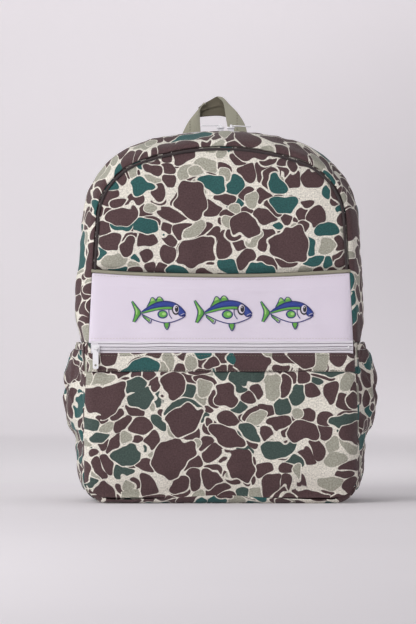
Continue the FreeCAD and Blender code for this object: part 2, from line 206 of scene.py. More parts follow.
def pushed(grid, amount, outward):
    """The grid moved along its normals, which are turned to the side of outward(grid)."""
    n = normals_of(grid)
    turn = np.sign((n * outward(grid)).sum(-1, keepdims=True))
    turn[turn == 0] = 1
    return grid + n * turn * amount[..., None]


def from_middle(grid):
    """Rough outward direction: away from the bag's middle."""
    return grid - np.array([0, 0, 0.2])


def frontwards(grid):
    return np.broadcast_to(np.array([0.0, -1.0, 0.0]), grid.shape)


def backwards(grid):
    return -frontwards(grid)


def inside_out(grid, outward):
    """Whether a grid's faces would look away from the side of outward(grid)."""
    return float((normals_of(grid) * outward(grid)).sum()) < 0


def pucker(run, distance, reach=7 * MM, amount=0.5 * MM, seed=1):
    """Small ridges square to a seam, which die out away from it."""
    wave = Waves(seed, 0.011, terms=9)
    points = np.stack([run, np.zeros_like(run), np.zeros_like(run)], -1)
    return wave(points) * amount * np.exp(-distance / reach)


# ---- meshes ----


def run_length(points):
    """Distance along a row of points."""
    return np.concatenate([[0], np.cumsum(np.linalg.norm(np.diff(points, axis=0), axis=1))])


class Pile:
    """Grids of points gathered into one mesh, with a cloth UV in metres."""

    def __init__(self):
        self.points = []
        self.faces = []
        self.uv = []
        self.count = 0

    def grid(self, grid, uv=None, wrap=False, flip=False, caps=False):
        rows, columns = grid.shape[:2]
        if uv is None:
            around = run_length(grid[rows // 2])
            if wrap:
                around = np.append(around, around[-1] + np.linalg.norm(grid[0, -1] - grid[0, 0]))
            along = run_length(grid[:, columns // 2])
            uv = np.stack(np.broadcast_arrays(along[:, None], around[None]), -1)
        i, j = np.meshgrid(range(rows - 1), range(columns if wrap else columns - 1), indexing="ij")
        k = (j + 1) % columns
        quads = np.stack([i * columns + j, (i + 1) * columns + j, (i + 1) * columns + k, i * columns + k], -1)
        corners = np.stack([uv[i, j], uv[i + 1, j], uv[i + 1, j + 1], uv[i, j + 1]], -2)
        quads = quads.reshape(-1, 4)
        corners = corners.reshape(-1, 4, 2)
        if flip:
            quads = quads[:, ::-1]
            corners = corners[:, ::-1]
        self.points.append(grid.reshape(-1, 3))
        self.faces += (quads + self.count).tolist()
        self.uv.append(corners.reshape(-1, 2))
        if caps:
            for row, turn in ((0, 1), (rows - 1, -1)):
                ring = (np.arange(columns) + row * columns)[:: -turn if flip else turn]
                self.faces.append((ring + self.count).tolist())
                self.uv.append(uv[row, (ring - row * columns)])
        self.count += rows * columns

    def make(self, name, material, slot=None):
        mesh = bpy.data.meshes.new(name)
        mesh.from_pydata(np.concatenate(self.points).tolist(), [], self.faces)
        if material:
            mesh.materials.append(material)
        layer = mesh.uv_layers.new(name="cloth")
        layer.data.foreach_set("uv", np.concatenate(self.uv).astype(np.float32).ravel())
        mesh.polygons.foreach_set("use_smooth", [True] * len(mesh.polygons))
        mesh.update()
        obj = bpy.data.objects.new(name, mesh)
        bpy.context.scene.collection.objects.link(obj)
        return obj


def one(name, grid, material, slot, **how):
    pile = Pile()
    pile.grid(grid, **how)
    return pile.make(name, material, slot)


def soften(obj, levels=1):
    soft = obj.modifiers.new("soft", "SUBSURF")
    soft.levels = soft.render_levels = levels
    soft.boundary_smooth = "PRESERVE_CORNERS"
    return obj


def cloth_sheet(name, grid, uv, material, slot, thick=CLOTH, outward=from_middle, levels=1):
    """A sheet of fabric over a grid of points, with its thickness inwards."""
    obj = one(name, grid, material, slot, uv=uv, flip=inside_out(grid, outward))
    solid = obj.modifiers.new("thickness", "SOLIDIFY")
    solid.thickness = thick
    solid.offset = -1
    if levels:
        soften(obj, levels)
    return obj


def carried(path, out, section):
    """A section's (across, out) points carried along a path, whose outward directions are in out."""
    tangent = np.gradient(path, axis=0)
    across = np.cross(tangent, out)
    across /= np.linalg.norm(across, axis=1)[:, None]
    up = np.cross(across, tangent)
    up /= np.linalg.norm(up, axis=1)[:, None]
    section = np.broadcast_to(section, (len(path),) + np.shape(section)[-2:])
    return path[:, None] + across[:, None] * section[..., 0:1] + up[:, None] * section[..., 1:2]


def circle(radius, sides=8, flat=1.0):
    t = np.arange(sides) * 2 * math.pi / sides
    return np.stack([radius * np.cos(t), radius * flat * np.sin(t)], -1)


def slab_section(width, thick, lip=0.35 * MM):
    """A flat webbing's section, its edges a little rounded."""
    x = width / 2
    y = thick / 2
    top = [(x - lip, y), (x * 0.5, y * 0.92), (0, y * 0.92), (-x * 0.5, y * 0.92), (-x + lip, y)]
    upper = [(x, y * 0.3), *top, (-x, y * 0.3)]
    return np.array(upper + [(a, -b) for a, b in upper[::-1]])


def spaced(points, step):
    """The points and their companions resampled at even steps along the row."""
    run = run_length(points[..., :3])
    at = np.linspace(0, run[-1], max(2, int(run[-1] / step) + 1))
    return np.stack([np.interp(at, run, points[:, k]) for k in range(points.shape[1])], -1)


def curve_through(points, count):
    """A smooth open curve of count points through the given ones."""
    points = np.asarray(points, float)
    padded = np.concatenate([2 * points[:1] - points[1:2], points, 2 * points[-1:] - points[-2:-1]])
    t = np.linspace(0, len(points) - 1, count)
    i = np.minimum(t.astype(int), len(points) - 2)
    f = (t - i)[:, None]
    a, b, c, d = (padded[i + k] for k in range(4))
    return 0.5 * (2 * b + (c - a) * f + (2 * a - 5 * b + 4 * c - d) * f**2 + (3 * b - a - 3 * c + d) * f**3)


def stitches(pile, path, out, dash=2.5 * MM, gap=1.3 * MM, thread=0.30 * MM):
    """A row of thread dashes on a surface: out is its outward direction at each point of the path."""
    step = 0.4 * MM
    both = spaced(np.concatenate([path, out], 1), step)
    long = max(3, int(dash / step))
    pitch = long + int(gap / step)
    arch = np.sin(np.linspace(0, math.pi, long))[:, None]
    for k in range(0, len(both) - long, pitch):
        piece = both[k : k + long]
        lifted = piece[:, :3] + piece[:, 3:] * (arch * 0.35 - 0.12) * MM
        pile.grid(carried(lifted, piece[:, 3:], circle(thread, 5)), wrap=True, caps=True)


def row_of(grid, index, outward):
    """One row across a sheet's grid, with its outward normals."""
    n = normals_of(grid)
    n = n * np.sign((n * outward(grid)).sum(-1, keepdims=True))
    return grid[:, index], n[:, index]


def stands_for(obj, nodes):
    if nodes:
        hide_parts(*nodes)


def on_body(obj, body, *nodes):
    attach(obj, body)
    stands_for(obj, nodes)


def on_bag(obj, *nodes):
    on_body(obj, "bag", *nodes)


def on_flap(obj, *nodes):
    """The flap's fabric, baked in place; the CAD parts that it stands for are hidden."""
    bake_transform(obj)
    stands_for(obj, nodes)


def on_pocket(obj, *nodes):
    """The pocket's fabric, baked in place; the CAD parts that it stands for are hidden."""
    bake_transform(obj)
    stands_for(obj, nodes)


def settle(grid, pinned, pressure, grow, stiff, cap=14 * MM):
    """The grid as a cloth held where pinned and blown out by pressure, with spare fabric to wrinkle."""
    frames = 18
    rows, columns = grid.shape[:2]
    obj = one("settling", grid, None, None)
    group = obj.vertex_groups.new(name="held")
    for index, weight in enumerate(pinned.ravel()):
        if weight > 0:
            group.add([index], float(weight), "REPLACE")
    cloth = obj.modifiers.new("cloth", "CLOTH")
    fabric = cloth.settings
    fabric.quality = 6
    fabric.mass = 0.25
    fabric.tension_stiffness = fabric.compression_stiffness = 25
    fabric.shear_stiffness = 8
    fabric.bending_stiffness = stiff
    fabric.air_damping = 4
    fabric.vertex_group_mass = "held"
    fabric.shrink_min = -grow
    fabric.use_pressure = True
    fabric.uniform_pressure_force = pressure
    fabric.effector_weights.gravity = 0
    cloth.collision_settings.use_collision = False
    cloth.point_cache.frame_end = frames
    scene = bpy.context.scene
    for f in range(1, frames + 1):
        scene.frame_set(f)
    evaluated = obj.evaluated_get(bpy.context.evaluated_depsgraph_get())
    out = np.empty(rows * columns * 3, np.float32)
    evaluated.data.vertices.foreach_get("co", out)
    scene.frame_set(1)
    bpy.data.objects.remove(obj)
    moved = out.reshape(rows, columns, 3).astype(float) - grid
    length = np.linalg.norm(moved, axis=-1, keepdims=True)
    return grid + moved * np.minimum(1, cap / np.maximum(length, 1e-9))


# ---- materials ----


class Maker:
    """A short hand for a material's nodes."""

    def __init__(self, name, roughness=0.85, sheen=0.0, metallic=0.0, coat=0.0):
        self.material = bpy.data.materials.new(name)
        self.material.use_nodes = True
        self.tree = self.material.node_tree
        self.shader = self.tree.nodes["Principled BSDF"]
        self.shader.inputs["Roughness"].default_value = roughness
        self.shader.inputs["Sheen Weight"].default_value = sheen
        self.shader.inputs["Sheen Roughness"].default_value = 0.5
        self.shader.inputs["Metallic"].default_value = metallic
        self.shader.inputs["Coat Weight"].default_value = coat

    def node(self, kind, inputs=None, output=0, **settings):
        n = self.tree.nodes.new("ShaderNode" + kind)
        for key, value in settings.items():
            setattr(n, key, value)
        for key, value in (inputs or {}).items():
            if isinstance(value, bpy.types.NodeSocket):
                self.tree.links.new(value, n.inputs[key])
            else:
                n.inputs[key].default_value = value
        return n.outputs[output]

    def maths(self, operation, a, b):
        return self.node("Math", {0: a, 1: b}, operation=operation)

    def step(self, value, low_edge, high_edge):
        """A smooth rise from 0 at the low edge to 1 at the high edge."""
        edges = {"Value": value, "From Min": low_edge, "From Max": high_edge}
        return self.node("MapRange", edges, interpolation_type="SMOOTHSTEP")

    def noise(self, place, scale, detail, output=0):
        return self.node("TexNoise", {"Vector": place, "Scale": scale, "Detail": detail}, output)

    def distance(self, place, point):
        return self.node("VectorMath", {0: place, 1: point}, 1, operation="DISTANCE")

    def soft_min(self, a, b, reach):
        return self.node("Math", {0: a, 1: b, 2: reach}, operation="SMOOTH_MIN")

    def mix(self, share, a, b, blend="MIX"):
        n = self.tree.nodes.new("ShaderNodeMix")
        n.data_type = "RGBA"
        n.blend_type = blend
        for socket, value in ((n.inputs[0], share), (n.inputs[6], a), (n.inputs[7], b)):
            if isinstance(value, bpy.types.NodeSocket):
                self.tree.links.new(value, socket)
            else:
                socket.default_value = value
        return n.outputs[2]

    def cloth_place(self, shift=(0, 0, 0)):
        uv = self.node("UVMap", uv_map="cloth")
        return self.node("Mapping", {"Vector": uv, "Location": shift})

    def finish(self, colour=None, bump=None, distance=0.2 * MM, strength=1.0, roughness=None):
        if colour is not None:
            self.tree.links.new(colour, self.shader.inputs["Base Color"])
        if roughness is not None:
            self.tree.links.new(roughness, self.shader.inputs["Roughness"])
        if bump is not None:
            normal = self.node("Bump", {"Height": bump, "Distance": distance, "Strength": strength})
            self.tree.links.new(normal, self.shader.inputs["Normal"])
        return self.material


def srgb(r, g, b):
    """An 8-bit display colour as linear RGBA."""

    def linear(v):
        v /= 255
        return v / 12.92 if v <= 0.04045 else ((v + 0.055) / 1.055) ** 2.4

    return (linear(r), linear(g), linear(b), 1.0)


WAVE = 0.314  # scale of a wave texture that repeats once in a metre


def weave_height(m, place, pitch):
    """Over-and-under height of a plain weave."""
    waves = {"Vector": place, "Scale": WAVE / pitch}
    across, along = (m.node("TexWave", waves, 1, bands_direction=way) for way in "XY")
    return m.maths("ADD", across, along)


def worn(m, colour, place, grain_scale=900, grain=0.16, fade=0.12):
    """Fine grain and slow fading over a colour."""
    grains = m.noise(place, grain_scale, 2.0)
    slow = m.noise(place, 14.0, 3.0)
    light = m.maths("ADD", m.maths("MULTIPLY", grains, grain), m.maths("MULTIPLY", slow, fade))
    light = m.maths("ADD", light, 1 - 0.5 * (grain + fade))
    grey = m.node("CombineColor", {0: light, 1: light, 2: light})
    return m.mix(1.0, colour, grey, "MULTIPLY")


def satin(name, colour):
    """Satin stitch: close shiny threads across the patch."""
    m = Maker(name, roughness=0.42, sheen=0.3)
    place = m.cloth_place()
    waves = {"Vector": place, "Scale": WAVE / (0.42 * MM), "Distortion": 0.6, "Detail": 1.0}
    threads = m.node("TexWave", waves, 1, bands_direction="X")
    tint = worn(m, colour, place, grain=0.25, fade=0.1)
    shade = m.mix(m.maths("MULTIPLY", threads, 0.45), tint, srgb(12, 14, 26), "MULTIPLY")
    tint = m.mix(m.maths("SUBTRACT", 1.0, threads), tint, shade)
    return m.finish(tint, threads, distance=0.18 * MM, strength=0.8)


def mesh_cloth(name, colour):
    """Spacer mesh: rows of small holes in a padded face."""
    m = Maker(name, roughness=0.8, sheen=0.2)
    place = m.cloth_place()
    rows = {"Vector": place, "Scale": 1 / (2.2 * MM), "Randomness": 0.05}
    cell = m.node("TexVoronoi", rows, feature="F1", voronoi_dimensions="2D")
    hole = m.step(cell, 0.42, 0.24)
    tint = m.mix(hole, worn(m, colour, place), srgb(70, 68, 58))
    return m.finish(tint, m.maths("SUBTRACT", 1.0, hole), distance=0.4 * MM, strength=0.8)


CREAM = srgb(228, 224, 211)
BROWN = srgb(80, 58, 59)
GREY = srgb(166, 165, 150)
TEAL = srgb(38, 88, 86)
SLATE = srgb(62, 80, 74)


# Blotches by layer: cell size, stretch along x, smallest and largest radius, share of cells used, colour.
LAYERS = (
    (0.060, 0.90, 0.0125, 0.0200, 0.62, "brown"),
    (0.045, 0.60, 0.0080, 0.0120, 0.72, "teal"),
    (0.043, 1.15, 0.0065, 0.0105, 0.50, "grey"),
    (0.034, 0.85, 0.0060, 0.0100, 0.60, "brown"),
)
GAP = 1.2 * MM


def bent_place(m, place):
    """The fabric's coordinates, bent by noise so that the blotches lose their straight sides."""
    bent = place
    for scale, reach in ((24.0, 0.028), (66.0, 0.0070)):
        push = m.noise(place, scale, 0.0, 1)
        push = m.node("VectorMath", {0: push, 1: (0.5, 0.5, 0.5)}, operation="SUBTRACT")
        push = m.node("VectorMath", {0: push, "Scale": reach}, operation="SCALE")
        bent = m.node("VectorMath", {0: bent, 1: push}, operation="ADD")
    return bent


def blotch_cells(m, bent, size, stretch, offset):
    """Cells of a size: distance from the nearest centre, distance from the cell's edge, random numbers."""
    at = m.node("Mapping", {"Vector": bent, "Location": offset, "Scale": (stretch, 1, 1)})
    flat = {"Vector": at, "Scale": 1 / size, "Randomness": 1.0}
    near = m.node("TexVoronoi", flat, feature="F1", voronoi_dimensions="2D")
    flat["Smoothness"] = 0.9
    soft = m.node("TexVoronoi", flat, feature="SMOOTH_F1", voronoi_dimensions="2D")
    edge = m.maths("SUBTRACT", 0.152, m.maths("SUBTRACT", near, soft))
    chances = m.tree.nodes.new("ShaderNodeSeparateColor")
    m.tree.links.new(near.node.outputs["Color"], chances.inputs[0])
    return m.maths("MULTIPLY", near, size), m.maths("MULTIPLY", edge, size), chances.outputs


def camo(name, shift, teal=TEAL):
    """Printed canvas: rounded blotches in layers, each with a cream outline that cuts into those below."""
    colours = {"brown": BROWN, "grey": GREY, "teal": teal}
    m = Maker(name, roughness=0.9, sheen=0.15)
    place = m.cloth_place(shift)
    bent = bent_place(m, place)
    lobes = m.noise(m.node("Mapping", {"Vector": place, "Location": (3.1, 7.7, 0)}), 75.0, 0.0)
    lobes = m.maths("MULTIPLY", m.maths("SUBTRACT", lobes, 0.5), 11 * MM)
    clear = 1.0
    shown = []
    for index, (size, stretch, r0, r1, share, tone) in enumerate(LAYERS):
        near, edge, chance = blotch_cells(m, bent, size, stretch, (0.21 * index + 0.13, 0.47 * index, 0))
        radius = m.node("MapRange", {"Value": chance[1], "To Min": r0, "To Max": r1})
        radius = m.maths("ADD", radius, lobes)
        radius = m.maths("SUBTRACT", radius, m.maths("GREATER_THAN", chance[0], share))
        inside = m.soft_min(m.maths("SUBTRACT", radius, near), m.maths("SUBTRACT", edge, GAP), 3 * MM)
        if index:
            inside = m.soft_min(inside, clear, 3 * MM)
        shown.append((inside, colours[tone]))
        beyond = m.maths("SUBTRACT", m.maths("MULTIPLY", inside, -1.0), GAP)
        clear = m.soft_min(clear, beyond, 1 * MM) if index else beyond
    shown.append(camo_base(m, bent, lobes, clear, colours["teal"]))
    colour = CREAM
    for inside, tone in shown[::-1]:
        colour = m.mix(m.step(inside, -0.15 * MM, 0.15 * MM), colour, tone)
    colour = worn(m, colour, place, grain_scale=560, grain=1.25)
    return m.finish(colour, weave_height(m, place, 0.7 * MM), strength=0.5)


def camo_base(m, bent, lobes, clear, teal):
    """The small blotches that fill what the layers leave clear."""
    near, edge, chance = blotch_cells(m, bent, 0.0185, 0.85, (0.37, 0.61, 0))
    inside = m.maths("ADD", m.maths("SUBTRACT", edge, 1.05 * MM), m.maths("MULTIPLY", lobes, 0.16))
    cap = m.maths("SUBTRACT", m.maths("ADD", 11.9 * MM, m.maths("MULTIPLY", lobes, 0.35)), near)
    inside = m.soft_min(inside, cap, 3 * MM)
    tone = m.mix(m.maths("GREATER_THAN", chance[0], 0.70), BROWN, GREY)
    tone = m.mix(m.maths("GREATER_THAN", chance[0], 0.83), tone, teal)
    return m.soft_min(inside, clear, 4 * MM), tone


def plain_cloth(name, colour, pitch=0.5 * MM, grain=0.10, fade=0.08, sheen=0.1, strength=0.4):
    m = Maker(name, roughness=0.88, sheen=sheen)
    place = m.cloth_place()
    base = m.node("RGB")
    base.default_value = colour
    tint = worn(m, base, place, grain=grain, fade=fade)
    return m.finish(tint, weave_height(m, place, pitch), strength=strength)


def lacquer(name, colour):
    m = Maker(name, roughness=0.28, coat=0.4)
    place = m.node("TexCoord", None, 3)
    smudge = m.noise(place, 260.0, 3.0)
    tint = m.mix(m.maths("MULTIPLY", smudge, 0.12), colour, srgb(150, 150, 150))
    rough = m.maths("ADD", m.maths("MULTIPLY", smudge, 0.2), 0.2)
    return m.finish(tint, smudge, distance=0.05 * MM, strength=0.3, roughness=rough)


CAMO_FRONT = camo("camo_front", (0.31, 0.12, 0))
CAMO_POCKET = camo("camo_pocket", (1.13, 0.72, 0), SLATE)
CAMO_STRIP = camo("camo_strip", (0.77, 1.91, 0))
CAMO_GUSSET = camo("camo_gusset", (2.41, 0.33, 0))
CAMO_SIDE = camo("camo_side", (3.07, 2.15, 0))
CAMO_BACK = camo("camo_back", (4.22, 1.07, 0))
CAMO_STRAP = camo("camo_strap", (5.61, 3.07, 0))
BAND = plain_cloth("band_twill", srgb(227, 219, 231), pitch=0.45 * MM, grain=0.05, fade=0.05)
OLIVE = plain_cloth("olive_cotton", srgb(150, 147, 128), pitch=0.6 * MM, grain=0.18)
WEBBING = plain_cloth("olive_webbing", srgb(166, 164, 146), pitch=1.1 * MM, grain=0.16, strength=0.8)
LINING = plain_cloth("lining", srgb(176, 172, 160), pitch=0.3 * MM, grain=0.06)
TAPE = plain_cloth("zip_tape", srgb(232, 229, 234), pitch=0.4 * MM, grain=0.05)
COIL = plain_cloth("zip_coil", srgb(205, 204, 206), pitch=0.4 * MM, grain=0.08)
THREAD = plain_cloth("thread", srgb(214, 208, 206), pitch=0.25 * MM, grain=0.15)
OLIVE_THREAD = plain_cloth("olive_thread", srgb(112, 108, 92), pitch=0.25 * MM, grain=0.15)
# painted shade: the handle's top span, turned under and in shade, gets a darker olive than its legs
WEBBING_SHADE = plain_cloth("webbing_painted_shade", srgb(98, 92, 76), pitch=1.1 * MM, grain=0.16, strength=0.8)
# painted shade: the colour of the cord laid in the groove round the dome, where the seam's shadow falls
SEAM_SHADE = plain_cloth("seam_shadow", srgb(58, 50, 50), pitch=0.5 * MM, grain=0.2)
# painted shade: the colour of the thin cords in the zip's dips and under the band's fold
GROOVE_SHADE = plain_cloth("zip_groove_shade", srgb(142, 136, 144), pitch=0.4 * MM, grain=0.05)
LACQUER = lacquer("white_lacquer", srgb(238, 238, 240))
PLASTIC = lacquer("buckle_plastic", srgb(120, 118, 104))
MESH = mesh_cloth("padded_mesh", srgb(164, 162, 146))
SATIN = {
    "blue": satin("satin_blue", srgb(38, 66, 158)),
    "navy": satin("satin_navy", srgb(30, 36, 122)),
    "green": satin("satin_green", srgb(104, 184, 72)),
    "pale": satin("satin_pale", srgb(178, 228, 134)),
    "white": satin("satin_white", srgb(226, 220, 232)),
    "black": satin("satin_black", srgb(22, 22, 30)),
}


# ---- ring: gussets, sides and bottom ----


def ring_grid(q, y, inset=0.0):
    """Points on the bag's ring for a row of q and a row of depths y."""
    qq, yy = np.meshgrid(q, y, indexing="ij")
    shares = section(yy)
    flat = sum(outline_at(i, qq) * shares[i][..., None] for i in range(3))
    grid = np.stack([flat[..., 0], yy, flat[..., 1]], -1)
    across = (yy - FRONT) / (BACK - FRONT)
    upright = np.clip(grid[..., 2] / 0.03, 0, 1)
    to_seam = np.minimum(yy - FRONT, BACK - yy)
    to_zip = np.where(grid[..., 2] > FOLD_Z, np.abs(yy - ZIP_Y), 1.0)
    free = np.clip(np.minimum(to_seam, to_zip - 6 * MM) / (20 * MM), 0, 1) * upright
    swell = 2.5 * MM * np.sin(np.clip(across, 0, 1) * math.pi) * upright
    by_zip = pucker(run_of(qq), np.abs(to_zip - 9 * MM), seed=22) * (to_zip < 0.1)
    tight = pucker(run_of(qq), to_seam, seed=21) + by_zip
    swell *= 1 - 0.65 * np.clip((grid[..., 2] - 0.36) / 0.07, 0, 1)
    swell *= 0.15 + 0.85 * np.clip((grid[..., 2] - 0.03) / 0.08, 0, 1)
    ahead = np.maximum(yy - FRONT, 0)
    roll = 3.6 * MM * (1 - np.exp(-ahead / (2.5 * MM))) * np.exp(-ahead / (10 * MM))
    roll -= 2.4 * MM * np.exp(-ahead / (1.4 * MM))
    amount = (swell + roll * upright + tight * upright) + lumps(grid, 2.2, 0.9, 0.25) * free - inset
    return pushed(grid, amount, from_middle), np.stack([run_of(qq), yy], -1)


def fine(a, b, step):
    return np.linspace(a, b, max(2, int(abs(b - a) / step) + 1))


def q_row(q0, q1, step=4 * MM):
    count = int(abs(run_of(q1) - run_of(q0)) / step) + 2
    return np.linspace(q0, q1, count)


Q_FOLD = q_of_z(FOLD_Z)


def build_ring():
    over = q_row(-Q_FOLD, Q_FOLD)
    grid, uv = ring_grid(over, fine(FRONT + 0.5 * MM, LAND_FRONT + 0.5 * MM, 3 * MM))
    on_flap(cloth_sheet("front_gusset_cloth", grid, uv, CAMO_GUSSET, "camo_canvas"), "front_gusset")
    grid, uv = ring_grid(over, fine(LAND_REAR - 0.5 * MM, BACK, 3.5 * MM))
    on_bag(cloth_sheet("rear_gusset_cloth", grid, uv, CAMO_SIDE, "camo_canvas"), "rear_gusset")
    for side, sign in (("left", -1), ("right", 1)):
        down = q_row(sign * Q_FOLD, sign * 0.93)
        grid, uv = ring_grid(down, fine(FRONT + 0.5 * MM, BACK, 4 * MM))
        on_bag(cloth_sheet("side_cloth_" + side, grid, uv, CAMO_SIDE, "camo_canvas"), "side_panel_" + side)
    half = np.linspace(0.929, 1, 40)
    x = np.concatenate([half, 2 - half[::-1][1:]])
    q = np.where(x <= 1, x, x - 2)
    grid, uv = ring_grid(q, fine(FRONT + 0.5 * MM, BACK, 5 * MM))
    on_bag(cloth_sheet("bottom_cloth", grid, uv, CAMO_SIDE, "camo_canvas"), "bottom_panel")
    front_roll()


def front_roll():
    """The bottom panel's front edge, which rolls up to the pocket's seam."""
    half = np.linspace(float(Q_GRID[CORNER_STEP + 2]), 1, 70)
    q = np.concatenate([half, -half[::-1][1:]])
    flat = outline_at(0, q)
    run = run_length(flat)
    turn = np.linspace(0, 1, 9)
    near_floor = np.exp(-np.maximum(flat[:, 1], 0) / (9 * MM))
    reach = (2.0 + 7.6 * near_floor) * MM
    lift = POCKET_LOW * 1.3
    y = FRONT + 1.5 * MM - reach[:, None] * np.sin(turn * math.pi / 2)[None]
    inward = np.array([0, 0.06]) - flat
    inward /= np.linalg.norm(inward, axis=1)[:, None]
    rise = lift * (1 - np.cos(turn * math.pi / 2)) ** 0.8
    edge = flat[:, None] + inward[:, None] * (rise[None, :, None] + 0.4 * MM)
    grid = np.stack([edge[..., 0], y, np.maximum(edge[..., 1], 0.3 * MM)], -1)
    uv = np.stack(np.broadcast_arrays(run[:, None], turn[None] * 12 * MM), -1)

    def outward(g):
        return g - np.array([0, -0.03, 0.05])

    to_seam = np.broadcast_to((1 - turn[None]) * 8 * MM, y.shape)
    tight = pucker(np.broadcast_to(run[:, None], y.shape), to_seam, seed=24)
    grid = pushed(grid, CREASES(grid) * 0.25 * MM + tight, outward)
    on_bag(cloth_sheet("bottom_roll", grid, uv, CAMO_SIDE, "camo_canvas", outward=outward))


# ---- front panels ----


def coons(bottom, top, left, right):
    """A grid between four edges given as (x, z) points: rows run along the bottom, columns up the sides."""
    u = np.linspace(0, 1, len(bottom))[:, None, None]
    v = np.linspace(0, 1, len(left))[None, :, None]
    ruled_v = (1 - v) * bottom[:, None] + v * top[:, None]
    ruled_u = (1 - u) * left[None] + u * right[None]
    low_corners = (1 - u) * (1 - v) * bottom[0] + u * (1 - v) * bottom[-1]
    return ruled_v + ruled_u - (low_corners + (1 - u) * v * top[0] + u * v * top[-1])


def line(a, b, count):
    t = np.linspace(0, 1, count)[:, None]
    return (1 - t) * np.array(a) + t * np.array(b)


def edge_distance(flat, *edges):
    """How far each grid point is from the nearest point of the edges."""
    points = flat.reshape(-1, 1, 2)
    gaps = np.linalg.norm(points - np.concatenate(edges)[None], axis=-1).min(1)
    return gaps.reshape(flat.shape[:2])


def between_sides(z, count):
    """Points (x, z) from the left to the right side of the front, at heights z."""
    x = np.linspace(-1, 1, count)[:, None] * half_width(z)[None, :]
    return x, np.broadcast_to(z[None, :], x.shape)


def crown(distance, lip, rise, reach):
    """Depth of a puffed panel: it leaves its seam steeply by lip, then rises over reach."""
    steep = lip * (1 - np.exp(-distance / (3.2 * MM)))
    slow = rise * (1 - (1 - np.clip(distance / reach, 0, 1)) ** 2)
    return steep + slow


def dome():
    q_low = q_of_z(DOME_LOW, FRONT_EDGE)
    q_turn = float(Q_GRID[TURN_STEP])
    across, up = 110, 60
    right = outline_at(FRONT_EDGE, np.linspace(q_low, q_turn, up))
    left = outline_at(FRONT_EDGE, np.linspace(-q_low, -q_turn, up))
    top = outline_at(FRONT_EDGE, np.linspace(-q_turn, q_turn, across))
    bottom = line(left[0], right[0], across)
    flat = coons(bottom, top, left, right)
    distance = edge_distance(flat, bottom, right, top, left)
    y = FRONT + 4.0 * MM - crown(np.maximum(distance - 2.0 * MM, 0), 5.2 * MM, 4.5 * MM, 90 * MM)
    grid = np.stack([flat[..., 0], y, flat[..., 1]], -1)
    bumps = lumps(grid, 1.6, 0.7, 0.22) * np.clip(distance / (14 * MM), 0, 1)
    tight = pucker(flat[..., 0] + flat[..., 1], distance, amount=0.45 * MM, seed=33)
    grid = pushed(grid, bumps + tight * np.clip(distance / (1.5 * MM), 0, 1), frontwards)
    grid[..., 2] += sag(grid[..., 0], grid[..., 2])
    obj = cloth_sheet("dome_cloth", grid, flat, CAMO_FRONT, "camo_canvas", outward=frontwards)
    on_flap(obj, "dome_panel")


def seam_shade_cord():
    """A dark cord of painted shade laid in the groove round the dome, where the seam's shadow falls."""
    q_low = q_of_z(DOME_LOW, FRONT_EDGE)
    q = np.linspace(-q_low, q_low, 260)
    flat = outline_at(FRONT_EDGE, q)
    inward = np.array([0, 0.26]) - flat
    inward /= np.linalg.norm(inward, axis=1)[:, None]
    flat = flat + inward * 3.1 * MM
    path = np.stack([flat[:, 0], np.full(len(q), FRONT + 0.5 * MM), flat[:, 1]], -1)
    cord = carried(path, frontwards(path), circle(1.5 * MM, 8))
    on_flap(one("dome_seam_shade", cord, SEAM_SHADE, "camo_canvas", wrap=True))


def sag(x, z):
    """How far the seam over the band, and the fabric near it, hangs at x."""
    near = np.exp(-(((z - BAND_TOP) / (20 * MM)) ** 2))
    return (4.0 - 5.6 * (1 - (x / 0.149) ** 2)) * MM * near


def band_depth(x, z):
    """Depth of the white band's face: it stands furthest out at its lower edge."""
    to_side = np.clip(half_width(z) - np.abs(x), 0, 1)
    to_top = np.clip((BAND_TOP - z) / (BAND_TOP - FOLD_Z), 0, 1)
    out = (1.0 + 4.2 * to_top**1.3) * MM * (1 - np.exp(-to_side / (4 * MM)))
    points = np.stack([x, np.zeros_like(x), z], -1)
    slack = np.clip(to_side / (20 * MM), 0, 1)
    crease = np.exp(-(((z - BAND_TOP + 15 * MM + x * 0.02) / (2.2 * MM)) ** 2)) * 0.5 * MM
    crease += np.exp(-(((z - FOLD_Z - 14 * MM - x * 0.05) / (3.0 * MM)) ** 2)) * 0.4 * MM
    return FRONT + 1.2 * MM - out - lumps(points, 0.7, 0.22) * slack - crease * slack


def band():
    grid = on_band(*between_sides(fine(BAND_FOOT, BAND_TOP, 2.2 * MM), 130))
    obj = cloth_sheet("band_cloth", grid, grid[..., [0, 2]], BAND, "band_twill", outward=frontwards)
    on_flap(obj, "band_panel")


def pocket_depth(z):
    """Depth of the pocket's face at height z, as its solid has it."""
    levels = (POCKET_LOW, 0.034, 0.078, POCKET_SEAM, POCKET_TOP)
    return np.interp(z, levels, (-0.071, -0.079, -0.080, POCKET_FACE, POCKET_FACE))


